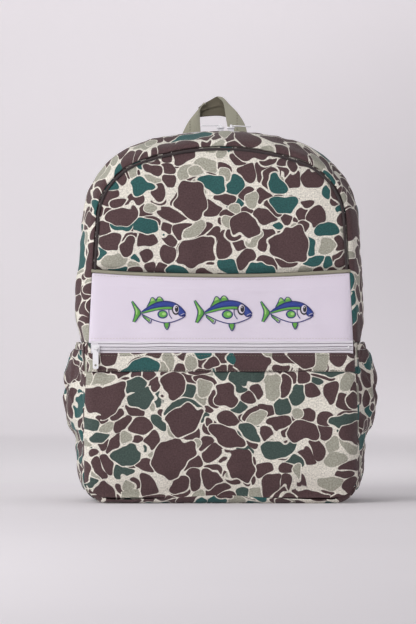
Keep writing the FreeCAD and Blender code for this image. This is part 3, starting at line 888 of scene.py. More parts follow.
def pocket():
    q_top = q_of_z(POCKET_SEAM, FRONT_EDGE)
    q_turn = float(Q_GRID[CORNER_STEP + EDGE_STEPS[3] // 2])
    across, up = 96, 56

    def edge(q):
        """The front's outline, pressed together so that it ends at the pocket's lower edge."""
        points = outline_at(FRONT_EDGE, q)
        points[:, 1] = np.maximum(points[:, 1], 0) * (POCKET_SEAM - POCKET_LOW) / POCKET_SEAM + POCKET_LOW
        return points

    right = edge(np.linspace(q_turn, q_top, up))
    left = edge(np.linspace(-q_turn, -q_top, up))
    half = np.linspace(q_turn, 1, across // 2)
    bottom = np.concatenate([edge(-half), edge(half[::-1])])
    top = line(left[-1], right[-1], across)
    flat = coons(bottom, top, left, right)
    distance = edge_distance(flat, bottom, right, left)
    face = pocket_depth(flat[..., 1])
    seam = FRONT - 1.0 * MM - 6.5 * MM * np.exp(-np.maximum(flat[..., 1] - POCKET_LOW, 0) / (9 * MM))
    y = seam + (face + 2.5 * MM - seam) * (1 - np.exp(-distance / (6.5 * MM)))
    grid = np.stack([flat[..., 0], y, flat[..., 1]], -1)
    pinned = np.clip(1 - distance / (1.0 * MM), 0, 1)
    pinned[:, -1] = 1.0
    grid = settle(grid, pinned, pressure=1.6, grow=0.035, stiff=0.8)
    free = np.clip(distance / (14 * MM), 0, 1)
    bumps = lumps(grid, 1.0, 0.8, 0.3) * free
    tight = pucker(flat[..., 0] + flat[..., 1], distance, amount=0.6 * MM, seed=41)
    bumps += tight * np.clip(distance / (1.5 * MM), 0, 1)
    from_top = POCKET_SEAM - flat[..., 1]
    tight = pucker(flat[..., 0], from_top, reach=16 * MM, amount=0.7 * MM, seed=42)
    bumps += tight * np.clip(from_top / (2 * MM), 0, 1)
    grid = pushed(grid, bumps, frontwards)
    obj = cloth_sheet("pocket_cloth", grid, flat, CAMO_POCKET, "camo_canvas", outward=frontwards)
    on_pocket(obj, "pocket_panel")


def strip():
    z = fine(POCKET_SEAM - 0.3 * MM, POCKET_TOP + 0.6 * MM, 1.6 * MM)
    x, zz = between_sides(z, 150)
    to_side = np.clip(half_width(zz) - np.abs(x), 0, 1)
    middle = np.clip((zz - POCKET_SEAM) / (POCKET_TOP - POCKET_SEAM), 0, 1)
    puff = 1.3 * MM * np.sin(middle * math.pi) ** 0.7
    face = POCKET_FACE + 1.2 * MM - puff
    y = FRONT - 1 * MM + (face - FRONT + 1 * MM) * (1 - np.exp(-to_side / (3.5 * MM)))
    points = np.stack([x, y, zz], -1)
    long_folds = Waves(52, 0.020, squash=(0.25, 1, 1.4))
    points[..., 1] -= (RIPPLES(points) * 0.35 + long_folds(points) * 0.35) * MM * np.sin(middle * math.pi)
    uv = points[..., [0, 2]]
    obj = cloth_sheet("strip_cloth", points, uv, CAMO_STRIP, "camo_canvas", outward=frontwards)
    on_pocket(obj, "pocket_strip")
    rows = Pile()
    for height in (POCKET_TOP - 3.0 * MM, POCKET_SEAM + 1.3 * MM):
        path, out = row_of(points, int(np.argmin(np.abs(z - height))), frontwards)
        stitches(rows, path[4:-4], out[4:-4], dash=2.3 * MM)
    on_pocket(rows.make("strip_stitches", OLIVE_THREAD, "embroidery_thread"))


# ---- piping, seams and zips ----


def on_band(x, z, rise=0.0):
    """Points over the band's face."""
    return np.stack([x, band_depth(x, z) - rise, z + sag(x, z)], -1)


def band_trim():
    x = np.linspace(-1, 1, 260) * (float(half_width(BAND_TOP)) + 0.4 * MM)
    z = np.full_like(x, (BAND_TOP + DOME_LOW) / 2)
    wave = DENTS(np.stack([x, x * 0, z], -1)) * 0.3 * MM
    path = np.stack([x, band_depth(x, z) - 0.4 * MM, z + wave + sag(x, z)], -1)
    cord = carried(path, frontwards(path), circle(1.9 * MM, 10, 0.9))
    on_flap(one("band_cord", cord, OLIVE, "olive_fabric", wrap=True, caps=True), "band_piping")
    rows = Pile()
    for height in (BAND_TOP - 2.6 * MM, FOLD_Z + 3.4 * MM):
        x = np.linspace(-1, 1, 200) * (float(half_width(height)) - 3 * MM)
        path = on_band(x, np.full_like(x, height), 0.1 * MM)
        stitches(rows, path, frontwards(path))
    on_flap(rows.make("band_stitches", THREAD, "embroidery_thread"))


def ribbed(profile, x0, x1, ribbed_from, pitch=1.25 * MM, step=0.32 * MM, depth=0.16 * MM):
    """A zip's face swept along x: a (z, y) profile, whose points from ribbed_from on are crossed by ribs."""
    x = np.arange(x0, x1, step)
    profile = np.asarray(profile)
    grid = np.empty((len(x), len(profile), 3))
    grid[..., 0] = x[:, None]
    grid[..., 1] = profile[None, :, 1]
    grid[..., 2] = profile[None, :, 0]
    rib = np.zeros(len(profile))
    rib[ribbed_from] = 1
    grid[..., 1] -= depth * np.sin(x * 2 * math.pi / pitch)[:, None] * rib
    grid[..., 2] += zip_wander(grid)
    return grid


def zip_wander(points):
    return lumps(points, 0.35, 0.15)


# Profiles of the pocket zip's halves from their outer edges to the middle: height from the zip's middle line
# and depth behind its face, in mm. A tape with its grooves, and a coil as the last five points.
ZIP_UPPER = (
    (9.6, 5.6), (8.6, 3.4), (7.2, 0.9), (6.3, 0.6), (5.9, 1.6), (5.4, 0.2), (3.4, -0.2), (2.7, -0.1),
    (2.3, 1.7), (1.9, 1.7), (1.45, -0.7), (0.8, -1.1), (0.25, -1.0), (0.1, -0.3), (0.06, 1.2),
)
ZIP_LOWER = (
    (-5.8, 1.6), (-5.3, 0.5), (-4.7, 0.0), (-3.4, -0.2), (-2.7, -0.1), (-2.3, 1.7),
    (-1.9, 1.7), (-1.45, -0.7), (-0.9, -1.1), (-0.25, -1.0), (-0.1, -0.3), (-0.06, 1.2),
)
ZIP_HALF = POCKET_ZIP_HALF + 2 * MM


def zip_half(part, profile, body, shade_line_heights):
    """One half of the pocket zip, with thin dark cords of painted shade where the zip dips and under the band's
    fold.
    """
    name = "zip_" + part
    coil = len(profile) - 5
    points = [(POCKET_ZIP_Z + a * MM, POCKET_ZIP_Y + b * MM) for a, b in profile]
    grid = ribbed(points, -ZIP_HALF, ZIP_HALF + 2.5 * MM, slice(coil, coil + 3))
    obj = one(name, grid, TAPE, "zip_tape", flip=inside_out(grid, frontwards))
    on_body(obj, body, "pocket_%s_tape" % name, "pocket_%s_coil" % name)
    shade_lines = Pile()
    for height in shade_line_heights:
        x = np.linspace(-ZIP_HALF + 8 * MM, ZIP_HALF + 1.5 * MM, 160)
        depth = np.full_like(x, POCKET_ZIP_Y + 0.55 * MM)
        path = np.stack([x, depth, np.full_like(x, POCKET_ZIP_Z + height * MM)], -1)
        path[:, 2] += zip_wander(path)
        shade_lines.grid(carried(path, frontwards(path), circle(0.5 * MM, 6)), wrap=True, caps=True)
    return shade_lines


def front_zip():
    # The dark cords along the zip are painted shade: under the band's fold and in the zip's dips.
    shade_lines = zip_half("upper", ZIP_UPPER, "bag", (5.9, 2.05))
    on_bag(shade_lines.make("zip_shade_lines_upper", GROOVE_SHADE, "zip_tape"))
    shade_lines = zip_half("lower", ZIP_LOWER, "front_pocket", (-2.1,))
    on_body(shade_lines.make("zip_shade_line_lower", GROOVE_SHADE, "zip_tape"), "front_pocket")
    stops = Pile()
    depth = np.full(7, POCKET_ZIP_Y - 1.3 * MM)
    for x in (-ZIP_HALF + 3 * MM, ZIP_HALF - 3 * MM):
        path = np.stack([np.linspace(-0.9, 0.9, 7) * MM + x, depth, np.full(7, POCKET_ZIP_Z + 1.2 * MM)], -1)
        stops.grid(carried(path, frontwards(path), circle(1.7 * MM, 10, 0.45)), wrap=True, caps=True)
    on_bag(stops.make("zip_stops", LACQUER, "white_lacquer"), "pocket_zip_stops")


def ring_path(q, y, rise):
    """Points over the ring's nominal surface at depth y, with outward directions."""
    flat = outline_at(RIDGE, q)
    tangent = np.gradient(flat, axis=0)
    out = np.stack([-tangent[:, 1], np.zeros(len(q)), tangent[:, 0]], -1)
    out /= np.linalg.norm(out, axis=1)[:, None]
    centre = np.array([0, 0, 0.2])
    path = np.stack([flat[:, 0], np.full(len(q), y), flat[:, 1]], -1)
    out *= np.sign((out * (path - centre)).sum(-1, keepdims=True))
    return path + out * rise, out


def ring_tape(name, y0, y1, put, node):
    q = q_row(-Q_FOLD, Q_FOLD, 3 * MM)
    depths = np.linspace(y0, y1, 6)
    rows = [ring_path(q, y, -1.2 * MM + 0.9 * MM * (abs(y - ZIP_Y) < 7 * MM))[0] for y in depths]
    grid = np.stack(rows, 1)
    uv = np.stack(np.broadcast_arrays(run_of(q)[:, None], depths[None]), -1)
    put(cloth_sheet(name, grid, uv, TAPE, "zip_tape", thick=0.7 * MM), node)


def ring_coil(name, y, put, node):
    q = q_row(-Q_FOLD, Q_FOLD, 0.42 * MM)
    path, out = ring_path(q, y, 0.45 * MM)
    swell = 1 + 0.16 * np.sin(run_of(q) * 2 * math.pi / (1.7 * MM))
    section = circle(1.2 * MM, 6, 0.7)[None] * swell[:, None, None]
    put(one(name, carried(path, out, section), COIL, "zip_coil", wrap=True), node)


def main_zip():
    ring_tape("main_tape_front", LAND_FRONT + 0.2 * MM, ZIP_Y - 1.0 * MM, on_flap, "main_zip_front_tape")
    ring_tape("main_tape_rear", ZIP_Y + 1.0 * MM, LAND_REAR - 0.2 * MM, on_bag, "main_zip_rear_tape")
    ring_coil("main_coil_front", ZIP_Y - 1.35 * MM, on_flap, "main_zip_front_coil")
    ring_coil("main_coil_rear", ZIP_Y + 1.35 * MM, on_bag, "main_zip_rear_coil")


def hard_parts():
    """The hard CAD pieces keep their shape and get softened edges and their own finish."""
    sliders = ("pocket_slider", "main_slider_left", "main_slider_right")
    pulls = ("pocket_pull", "main_pull_left", "main_pull_right")
    buckles = ("ladder_lock_left", "ladder_lock_right")
    for material, width, nodes in ((LACQUER, 0.35, sliders + pulls), (PLASTIC, 0.7, buckles)):
        for node in nodes:
            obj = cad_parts[node]
            obj.data.materials.clear()
            obj.data.materials.append(material)
            weld = obj.modifiers.new("weld", "WELD")
            weld.merge_threshold = 0.01 * MM
            bevel = obj.modifiers.new("edges", "BEVEL")
            bevel.width = width * MM
            bevel.segments = 3
            bevel.limit_method = "ANGLE"
            bevel.angle_limit = math.radians(35)
            normals = obj.modifiers.new("normals", "WEIGHTED_NORMAL")
            normals.keep_sharp = True


# ---- linings, inner walls and back ----

FREE_FROM_SEAM = 20 * MM  # this far from its seam a wall hangs freely


def face_grid(station, y, z_low=None, z_high=None, hug=None):
    """A flat panel at depth y, with its distance from the edge; it is whole where no height is given.

    Its edge is the station's outline, or with hug it lies that far inside the ring's own fabric."""
    across, up = 60, 52
    corner = float(Q_GRID[CORNER_STEP + EDGE_STEPS[3] // 2])
    q_low = corner if z_low is None else q_of_z(z_low, station)
    q_turn = float(Q_GRID[TURN_STEP]) if z_high is None else q_of_z(z_high, station)

    def edge(q):
        if hug is None:
            return outline_at(station, q)
        grid, _ = ring_grid(q, np.array([y, y + MM]), inset=hug)
        return grid[:, 0][:, [0, 2]]

    right = edge(np.linspace(q_low, q_turn, up))
    left = edge(np.linspace(-q_low, -q_turn, up))
    if z_high is None:
        top = edge(np.linspace(-q_turn, q_turn, across))
    else:
        top = line(left[-1], right[-1], across)
    if z_low is None:
        half = np.linspace(q_low, 1, across // 2)
        bottom = edge(np.concatenate([-half, half[::-1]]))
    else:
        bottom = line(left[0], right[0], across)
    flat = coons(bottom, top, left, right)
    distance = edge_distance(flat, bottom, right, top, left)
    return np.stack([flat[..., 0], np.full(flat.shape[:2], y), flat[..., 1]], -1), flat, distance


def walls():
    grid, uv, distance = face_grid(BACK_EDGE, BACK - 1.0 * MM)
    dents = lumps(grid, 0.8, 0) * np.clip(distance / FREE_FROM_SEAM, 0, 1)
    grid = pushed(grid, crown(distance, 1.6 * MM, 1.5 * MM, 80 * MM) + dents, backwards)
    obj = cloth_sheet("back_cloth", grid, uv, CAMO_BACK, "camo_canvas", outward=backwards)
    on_bag(obj, "back_panel")
    grid, uv, _ = face_grid(FRONT_EDGE, FRONT + 1.0 * MM, z_high=FOLD_Z - 0.8 * MM)
    obj = cloth_sheet("front_lower_cloth", grid, uv, CAMO_POCKET, "camo_canvas", outward=frontwards, levels=0)
    on_bag(obj, "front_lower_panel")


def hung_wall(grid, distance, dents, ripples, way):
    """A flat wall of lining, loose between its edges and hanging away from the fabric along y."""
    loose = lumps(grid, dents, ripples) * np.clip(distance / FREE_FROM_SEAM, 0, 1)
    return grid + np.array([0, way, 0]) * np.abs(loose)[..., None]


def linings():
    inside = 2.9 * MM
    flap_inside = 6.6 * MM  # clear of the dome's seam, which sits back in its groove
    hug = inside - 0.5 * MM  # the flat walls reach a little past the ring's lining, so that no gap shows
    over = q_row(-Q_FOLD, Q_FOLD, 6 * MM)
    lining = Pile()
    grid, uv, distance = face_grid(BACK_EDGE, BACK - inside, hug=hug)
    lining.grid(hung_wall(grid, distance, 0.9, 0.5, -1), uv)
    grid, uv, _ = face_grid(FRONT_EDGE, FRONT + inside, hug=hug, z_high=FOLD_Z - 1.0 * MM)
    lining.grid(grid, uv, flip=True)
    lower = np.concatenate([np.linspace(Q_FOLD, 1, 90), np.linspace(-1, -Q_FOLD, 90)[1:]])
    back_end = BACK - inside + 0.6 * MM
    grid, uv = ring_grid(lower, fine(FRONT + inside, back_end, 6 * MM), inset=inside)
    lining.grid(grid, uv, flip=True)
    grid, uv = ring_grid(over, fine(LAND_REAR + 0.6 * MM, back_end, 6 * MM), inset=inside)
    lining.grid(grid, uv)
    on_bag(lining.make("bag_lining", LINING, "lining_fabric"), "body_lining")
    lining = Pile()
    grid, uv, distance = face_grid(FRONT_EDGE, FRONT + flap_inside, z_low=FOLD_Z + 0.4 * MM, hug=hug)
    lining.grid(hung_wall(grid, distance, 0.8, 0.5, 1), uv, flip=True)
    depths = fine(FRONT + flap_inside - 0.6 * MM, LAND_FRONT - 0.6 * MM, 5 * MM)
    grid, uv = ring_grid(over, depths, inset=inside)
    lining.grid(grid, uv)
    on_flap(lining.make("flap_lining_cloth", LINING, "lining_fabric"), "flap_lining")


# ---- side pockets ----

# A side pocket's profile in mm: heights, and how far out it stands there. Its belly is widest above its middle.
SIDE_REACH = (
    (8, 157), (30, 162.5), (62, 166.3), (94, 174.8), (127, 182.9), (160, 172), (184, 164), (206, 151),
)
POUCH_FOOT = 14 * MM
POUCH_HALF = high("side_pocket_right").y
ELASTIC_LOW = low("side_elastic_right").z
ELASTIC_HIGH = high("side_elastic_right").z
GATHERS = Waves(61, 0.011, terms=12, squash=(0.1, 1, 0.05))
LONG_GATHERS = Waves(62, 0.028, terms=12, squash=(0.1, 1, 0.25))


def reach_at(z):
    dense = curve_through(np.array(SIDE_REACH) * MM, 120)
    return np.interp(z, dense[:, 0], dense[:, 1])


def pouch_grid(z, across=96, rise=0.0):
    """The right pocket's surface at heights z, with u across it from -1 to 1."""
    share = np.sin(np.linspace(-1, 1, across) * math.pi / 2)
    share = 0.6 * share + 0.4 * np.linspace(-1, 1, across)
    zz, uu = np.meshgrid(z, share)
    body = half_width(zz, RIDGE) - 2.0 * MM
    round_off = (1 - np.abs(uu) ** 2.4) ** 0.72
    x = body + (reach_at(zz) - body) * round_off + rise * round_off**0.3
    return np.stack([x, uu * (POUCH_HALF - 0.5 * MM), zz], -1), uu


def right_side(grid):
    return np.broadcast_to(np.array([1.0, 0.0, 0.0]), grid.shape)


def pouch_cloth():
    """The right pocket's fabric with the folds that its elastic gathers, and its UV."""
    grid, uu = pouch_grid(fine(POUCH_FOOT, ELASTIC_LOW + 0.5 * MM, 3.2 * MM))
    uv = np.stack([grid[..., 1] * 1.35, grid[..., 2]], -1)
    pinned = np.zeros(grid.shape[:2])
    pinned[0] = pinned[-1] = pinned[:, 0] = pinned[:, -1] = 1
    grid = settle(grid, pinned, pressure=0.9, grow=0.03, stiff=0.6, cap=4 * MM)
    free = np.clip((1 - np.abs(uu)) / 0.18, 0, 1) * np.clip((grid[..., 2] - POUCH_FOOT) / (20 * MM), 0, 1)
    from_hem = ELASTIC_LOW - grid[..., 2]
    short = GATHERS(grid) * 1.1 * np.exp(-from_hem / (12 * MM))
    gather = (short + LONG_GATHERS(grid) * 1.5 * np.exp(-from_hem / (45 * MM))) * MM
    bumps = lumps(grid, 0.4, 0.7, 0.3) + gather
    return pushed(grid, np.minimum(bumps * free, 3 * MM), right_side), uv


def pouch_hem():
    """The ruffled hem over the right pocket's elastic, and its UV."""
    grid, uu = pouch_grid(fine(ELASTIC_LOW - 0.3 * MM, ELASTIC_HIGH, 1.1 * MM), across=220, rise=0.6 * MM)
    share = (grid[..., 2] - ELASTIC_LOW) / (ELASTIC_HIGH - ELASTIC_LOW)
    puff = 0.9 * MM * np.sin(np.clip(share, 0, 1) * math.pi) ** 0.6
    ruffle = GATHERS(grid) * (0.9 + 0.5 * share) * MM
    fade = np.clip((1 - np.abs(uu)) / 0.06, 0, 1)
    grid = pushed(grid, (puff + ruffle) * fade, right_side)
    grid[..., 2] += LONG_GATHERS(grid) * 0.9 * MM * share * fade
    return grid, np.stack([grid[..., 1] * 1.6, grid[..., 2] + 0.2], -1)


def side_pockets():
    cloth, cloth_uv = pouch_cloth()
    hem, hem_uv = pouch_hem()
    for side, sign in (("left", -1), ("right", 1)):
        mirror = np.array([sign, 1, 1])
        shift = 0.0 if sign > 0 else 0.43  # the left pocket shows another part of the print

        def outward(g, sign=sign):
            return right_side(g) * sign

        look = (CAMO_SIDE, "camo_canvas")
        obj = cloth_sheet("pouch_cloth_" + side, cloth * mirror, cloth_uv + shift, *look, outward=outward)
        on_bag(obj, "side_pocket_" + side)
        thick = 2.0 * MM
        obj = cloth_sheet("pouch_hem_" + side, hem * mirror, hem_uv + shift, *look, thick, outward)
        on_bag(obj, "side_elastic_" + side)
        rows = Pile()
        for index in (1, -2):
            path, out = row_of(hem * mirror, index, outward)
            stitches(rows, path[3:-3] + out[3:-3] * 0.25 * MM, out[3:-3], dash=2.0 * MM)
        on_bag(rows.make("pouch_stitches_" + side, THREAD, "embroidery_thread"))


# ---- grab handle ----


def on_handle(obj, *nodes):
    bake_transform(obj)
    stands_for(obj, nodes)


def across_curves(a, b, t):
    """A grid from curve a to curve b: t is the share of the way across, from 0 to 1."""
    return a[:, None] * (1 - t[None, :, None]) + b[:, None] * t[None, :, None]


def between(name, left, right, depth, material, lift=0.6, ridge=0.0, nodes=()):
    """A strap whose two edges are (x, z) curves in millimetres, at depths along it."""
    count = 60
    t = np.linspace(0, 1, 21)
    edges = [curve_through(np.array(edge) * MM, count) for edge in (left, right)]
    flat = across_curves(*edges, t)
    y = np.interp(np.linspace(0, 1, count), np.linspace(0, 1, len(depth)), np.array(depth) * MM)
    fold = np.exp(-(((t - 0.56) / 0.07) ** 2)) - 0.8 * np.exp(-(((t - 0.44) / 0.05) ** 2))
    y = y[:, None] - np.sin(t * math.pi)[None] * lift * MM - ridge * MM * fold[None]
    grid = np.stack([flat[..., 0], y, flat[..., 1]], -1)
    grid = pushed(grid, lumps(grid, 0, 0.35, 0.15), frontwards)
    thick = 1.9 * MM
    on_handle(cloth_sheet(name, grid, None, material, "olive_webbing", thick, frontwards), *nodes)


def grab_handle():
    left_outer = [(-47, 420), (-44.5, 431), (-37.6, 445), (-29, 456), (-21.9, 464.6), (-17, 467.8)]
    left_inner = [(-22.5, 420), (-22.8, 433), (-23.4, 445), (-23.4, 452), (-22.4, 460), (-17.4, 466.2)]
    depth = (39, 38.6, 38.6, 39, 40)
    between("handle_leg_left", left_outer, left_inner, depth, WEBBING, nodes=("grab_handle",))
    right_outer = [(33.5, 420), (32, 433), (28.5, 444), (20.2, 456.4), (11, 466), (3.4, 473.6), (-3.0, 475.2)]
    right_inner = [(9.4, 420), (9.0, 436), (7.4, 446), (6.2, 454), (5.0, 462), (3.6, 468.5), (-2.0, 473.6)]
    between("handle_leg_right", right_inner, right_outer, (39.4, 39, 39, 39.5, 40.5), WEBBING)
    # The top span's darker webbing is painted shade: it is turned under and lies in shade.
    span_low = [(-24.5, 451.4), (-16, 452.3), (-6, 452.6), (2, 452.0), (8.0, 450.6)]
    span_high = [(-25.0, 461.5), (-20.5, 465.4), (-12, 470.4), (-3.1, 475.2), (3.2, 473.2)]
    between("handle_span", span_low, span_high, (42.4, 42, 42, 42, 42.4), WEBBING_SHADE, lift=-1.2, ridge=1.3)
    rows = Pile()
    for x, z0, z1 in ((-35.5, 431, 446), (20.2, 432, 457)):
        z = np.linspace(z0, z1, 12) * MM
        path = np.stack([np.full(12, x * MM), np.full(12, 38.15 * MM), z], -1)
        stitches(rows, path, frontwards(path), dash=2.2 * MM)
    on_handle(rows.make("handle_stitches", OLIVE_THREAD, "embroidery_thread"))


def rim_distance(a, b):
    """How far each point of a rectangular grid is from its nearest side; a and b rise along the grid."""
    return np.minimum.reduce([a - a.min(), a.max() - a, b - b.min(), b.max() - b])


def top_height(station, x):
    half = HALVES[station][:60]
    return np.interp(np.abs(x), half[:, 0], half[:, 1])


def handle_ends():
    """The handle's sewn ends, lying on the rear gusset."""
    ends = Pile()
    for x0, x1 in ((-46, -20), (8, 35)):
        x, y = np.meshgrid(np.linspace(x0, x1, 14) * MM, np.linspace(31, 49, 12) * MM, indexing="ij")
        behind = np.clip((y - LAND_REAR) / (BACK - LAND_REAR), 0, 1)
        share = 1 - np.cos(behind * math.pi / 2) ** 0.8
        z = top_height(RIDGE, x) * (1 - share) + top_height(BACK_EDGE, x) * share
        z = z + 2.6 * MM - 2.2 * MM * np.exp(-rim_distance(x, y) / (1.2 * MM))
        ends.grid(np.stack([x, y, z], -1))
    on_bag(soften(ends.make("handle_end_patches", WEBBING, "olive_webbing")), "handle_ends")


# ---- back pad, straps and webbing ----


def rounded_rectangle_edges(half, z0, z1, corner, across, up):
    """Bottom, top, left and right edges that meet in the middle of each rounded corner."""
    inner = half - corner
    foot = z0 + corner
    head = z1 - corner

    def arc(cx, cz, a0, a1):
        t = np.radians(np.linspace(a0, a1, 6))
        return np.stack([cx + corner * np.cos(t), cz + corner * np.sin(t)], -1)

    def side(first, a, b, count, last):
        return np.concatenate([arc(*first), line(a, b, count)[1:-1], arc(*last)])

    bottom = side((-inner, foot, 225, 270), (-inner, z0), (inner, z0), across, (inner, foot, 270, 315))
    top = side((-inner, head, 135, 90), (-inner, z1), (inner, z1), across, (inner, head, 90, 45))
    right = side((inner, foot, -45, 0), (half, foot), (half, head), up, (inner, head, 0, 45))
    return bottom, top, right * np.array([-1, 1]), right


def back_pad():
    lo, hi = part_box("back_pad")
    edges = rounded_rectangle_edges(hi.x - 1 * MM, lo.z + 1 * MM, hi.z - 1 * MM, 24 * MM, 84, 108)
    bottom, top, left, right = edges
    flat = coons(*edges)
    distance = edge_distance(flat, *edges)
    x, z = flat[..., 0], flat[..., 1]
    pitch = 52 * MM  # the quilting's lines repeat at this step along x
    middle = 0.214
    border = 9 * MM
    one_way = np.abs(((x + z - middle) / pitch + 0.5) % 1 - 0.5) * pitch / math.sqrt(2)
    other_way = np.abs(((x - z + middle) / pitch + 0.5) % 1 - 0.5) * pitch / math.sqrt(2)
    channel = np.minimum(np.minimum(one_way, other_way), distance - border)
    channel = np.where(distance < border, np.minimum(border - distance, 20 * MM), channel)
    puffed = 1 - np.exp(-np.abs(channel) / (4.2 * MM))
    rim = 1 - np.exp(-distance / (2.0 * MM))
    y = BACK + 1.0 * MM + rim * (2.6 * MM + 4.2 * MM * puffed)
    grid = np.stack([x, y, z], -1)
    pinned = ((distance < 0.5 * MM) | (np.abs(channel) < 1.6 * MM)).astype(float)
    grid = settle(grid, pinned, pressure=3.5, grow=0.04, stiff=0.4, cap=5 * MM)
    grid = pushed(grid, CREASES(grid) * 0.2 * MM * puffed, backwards)
    under = grid.copy()
    under[..., 1] = BACK + 0.8 * MM
    flip = inside_out(grid, backwards)
    pile = Pile()
    pile.grid(grid, flat, flip=flip)
    pile.grid(under, flat, flip=not flip)
    obj = pile.make("back_pad_mesh", MESH, "padded_mesh")
    weld = obj.modifiers.new("weld", "WELD")
    weld.merge_threshold = 0.35 * MM
    soften(obj)
    on_bag(obj, "back_pad")
    edge = np.concatenate([bottom[:-1], right[:-1], top[::-1][:-1], left[::-1]])
    path = np.stack([edge[:, 0], np.full(len(edge), BACK + 2.2 * MM), edge[:, 1]], -1)
    path = spaced(path, 2 * MM)
    binding = carried(path, backwards(path), circle(2.3 * MM, 8))
    on_bag(one("back_pad_binding", binding, OLIVE, "olive_fabric", wrap=True))


def parabola(points, at):
    """The x of a smooth edge at heights at, through three (z, x) points."""
    z, x = np.array(points, float).T * MM
    return np.polyval(np.polyfit(z, x, 2), at)


# Shoulder straps, in mm: edges as (height, x), the arc that a strap hangs in as (y, z, radius), and the
# arc's ends as (y, z).
STRAP_INNER = ((410, 24), (290, 46), (150, 82))
STRAP_OUTER = ((410, 74), (290, 104), (150, 114))
STRAP_ARC = (-186.8, 261.7, 293.7)
STRAP_TOP = (73.8, 397.0)
STRAP_FOOT = (88.0, 158.0)


def strap_path():
    """The strap's middle line from its root under the yoke, over the fold and down: (y, z), in metres."""
    cy, cz, radius = STRAP_ARC
    high_angle, low_angle = (math.atan2(z - cz, y - cy) for y, z in (STRAP_TOP, STRAP_FOOT))
    t = np.linspace(high_angle, low_angle, 80)
    down = np.stack([cy + radius * np.cos(t), cz + radius * np.sin(t)], -1)
    root = np.array([(64.6, 384), (65.0, 391), (66.0, 397.5), (68.6, 401.2), (71.8, 400.6)])
    return curve_through(np.concatenate([root, down[::8], down[-1:]]) * MM, 150)


def on_strap(obj, side, *nodes):
    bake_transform(obj)
    stands_for(obj, nodes)


def strap_frame():
    """Path, half widths and outward directions along the right strap."""
    line_yz = spaced(strap_path(), 2.4 * MM)
    y, z = line_yz.T
    inner, outer = parabola(STRAP_INNER, z), parabola(STRAP_OUTER, z)
    tangent = np.gradient(line_yz, axis=0)
    tangent /= np.linalg.norm(tangent, axis=1)[:, None]
    out = np.stack([np.zeros(len(y)), -tangent[:, 1], tangent[:, 0]], -1)
    path = np.stack([(inner + outer) / 2, y, z], -1)
    return path, (outer - inner) / 2, out


def strap_face(path, half, out, share, thick):
    """A line along the strap at a share of its width, on its outer face."""
    return path + np.array([1, 0, 0]) * (half * share)[:, None] + out * thick[:, None]


def strap_pad(side, sign, path, half, out, thick, ramp):
    """The padded strap: a quilted face and back joined into one ring along its path."""
    u = np.linspace(-1, 1, 25)
    body = (1 - np.abs(u) ** 4.0) ** 0.5
    groove = 0.30 * np.exp(-(((np.abs(u) - 0.74) / 0.05) ** 2))
    points = path[:, None] + np.array([1, 0, 0]) * (half[:, None] * u[None])[..., None]
    long_folds = Waves(71 + sign, 0.030, squash=(0.3, 1, 1))
    wrinkle = long_folds(points) * 0.35 + RIPPLES(points * np.array([1, 1.0, 1.1])) * 0.25
    rise = thick[:, None] * (body - groove)[None] + wrinkle * MM * ramp[:, None] * body[None]
    fall = thick[:, None] * (body - groove * 0.6)[None] - wrinkle * 0.5 * MM * body[None]
    outer = points + out[:, None] * rise[..., None]
    inner = points - out[:, None] * fall[..., None]
    mirror = np.array([sign, 1, 1])
    ring = np.concatenate([outer, inner[:, -2:0:-1]], 1) * mirror
    from_path = ring - (path * mirror)[:, None]
    flip = float((normals_of(ring) * from_path)[:, :20].sum()) < 0
    obj = one("strap_pad_" + side, ring, CAMO_STRAP, "camo_canvas", wrap=True, caps=True, flip=flip)
    on_strap(soften(obj), side, "shoulder_strap_" + side)


def shoulder_straps():
    path, half, out = strap_frame()
    run = run_length(path)
    ramp = np.clip((run - 12 * MM) / (26 * MM), 0, 1)
    foot = np.clip((run[-1] - run) / (10 * MM), 0, 1)
    thick = (1.4 + 3.1 * ramp * ramp * (3 - 2 * ramp)) * MM * (0.45 + 0.55 * foot**0.5)
    for side, sign in (("left", -1), ("right", 1)):
        strap_pad(side, sign, path, half, out, thick, ramp)
        mirror = np.array([sign, 1, 1])
        bindings, rows = Pile(), Pile()
        for edge in (-1, 1):
            edge_path = strap_face(path, half, out, edge * 0.985, thick * 0) * mirror
            round_edge = circle(2.2 * MM, 8) * np.array([1, 1.15])
            bindings.grid(carried(edge_path, out, round_edge), wrap=True, caps=True)
            seam = strap_face(path, half, out, edge * 0.74, thick * 0.72) * mirror
            stitches(rows, seam[8:-2], out[8:-2])
        on_strap(bindings.make("strap_binding_" + side, OLIVE, "olive_fabric"), side)
        on_strap(rows.make("strap_stitches_" + side, THREAD, "embroidery_thread"), side)


# The middle lines of the right side's 20 mm webbings, in mm.
END_WEB = (
    (98, 88.2, 172), (98, 87.4, 160), (98, 86.6, 150), (98, 88.6, 143.5), (98, 89.2, 140.2),
    (98, 86.6, 137.6), (98, 84.6, 140.5), (98, 85.2, 148), (98, 86.2, 156),
)
TAIL_WEB = (
    (98, 84.0, 126), (98, 86.2, 130.4), (98, 89.6, 131.0), (98.2, 91.4, 127),
    (98.6, 91.6, 112), (99.4, 91.2, 92), (100, 92.2, 74), (100, 93, 62.5),
)
LOWER_WEB = (
    (119, 65.2, 30), (118, 66.8, 42), (113, 71.0, 66), (106, 77.0, 92), (100, 82.0, 114), (98.2, 83.6, 124.5),
)


def webbing(name, side, sign, points, out):
    """A webbing along the given points, mirrored for the left side."""
    points = np.array(points) * np.array([sign, 1, 1]) * MM
    path = spaced(curve_through(points, 80), 1.2 * MM)
    path[:, 0] += RIPPLES(path) * 0.25 * MM
    out = np.broadcast_to(np.array(out, float), path.shape)
    grid = carried(path, out, slab_section(20 * MM, 1.5 * MM))
    return one("%s_%s" % (name, side), grid, WEBBING, "olive_webbing", wrap=True, caps=True)


def on_web(obj, node):
    """The lower webbing, baked in place; the CAD part that it stands for is hidden."""
    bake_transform(obj)
    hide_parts(node)


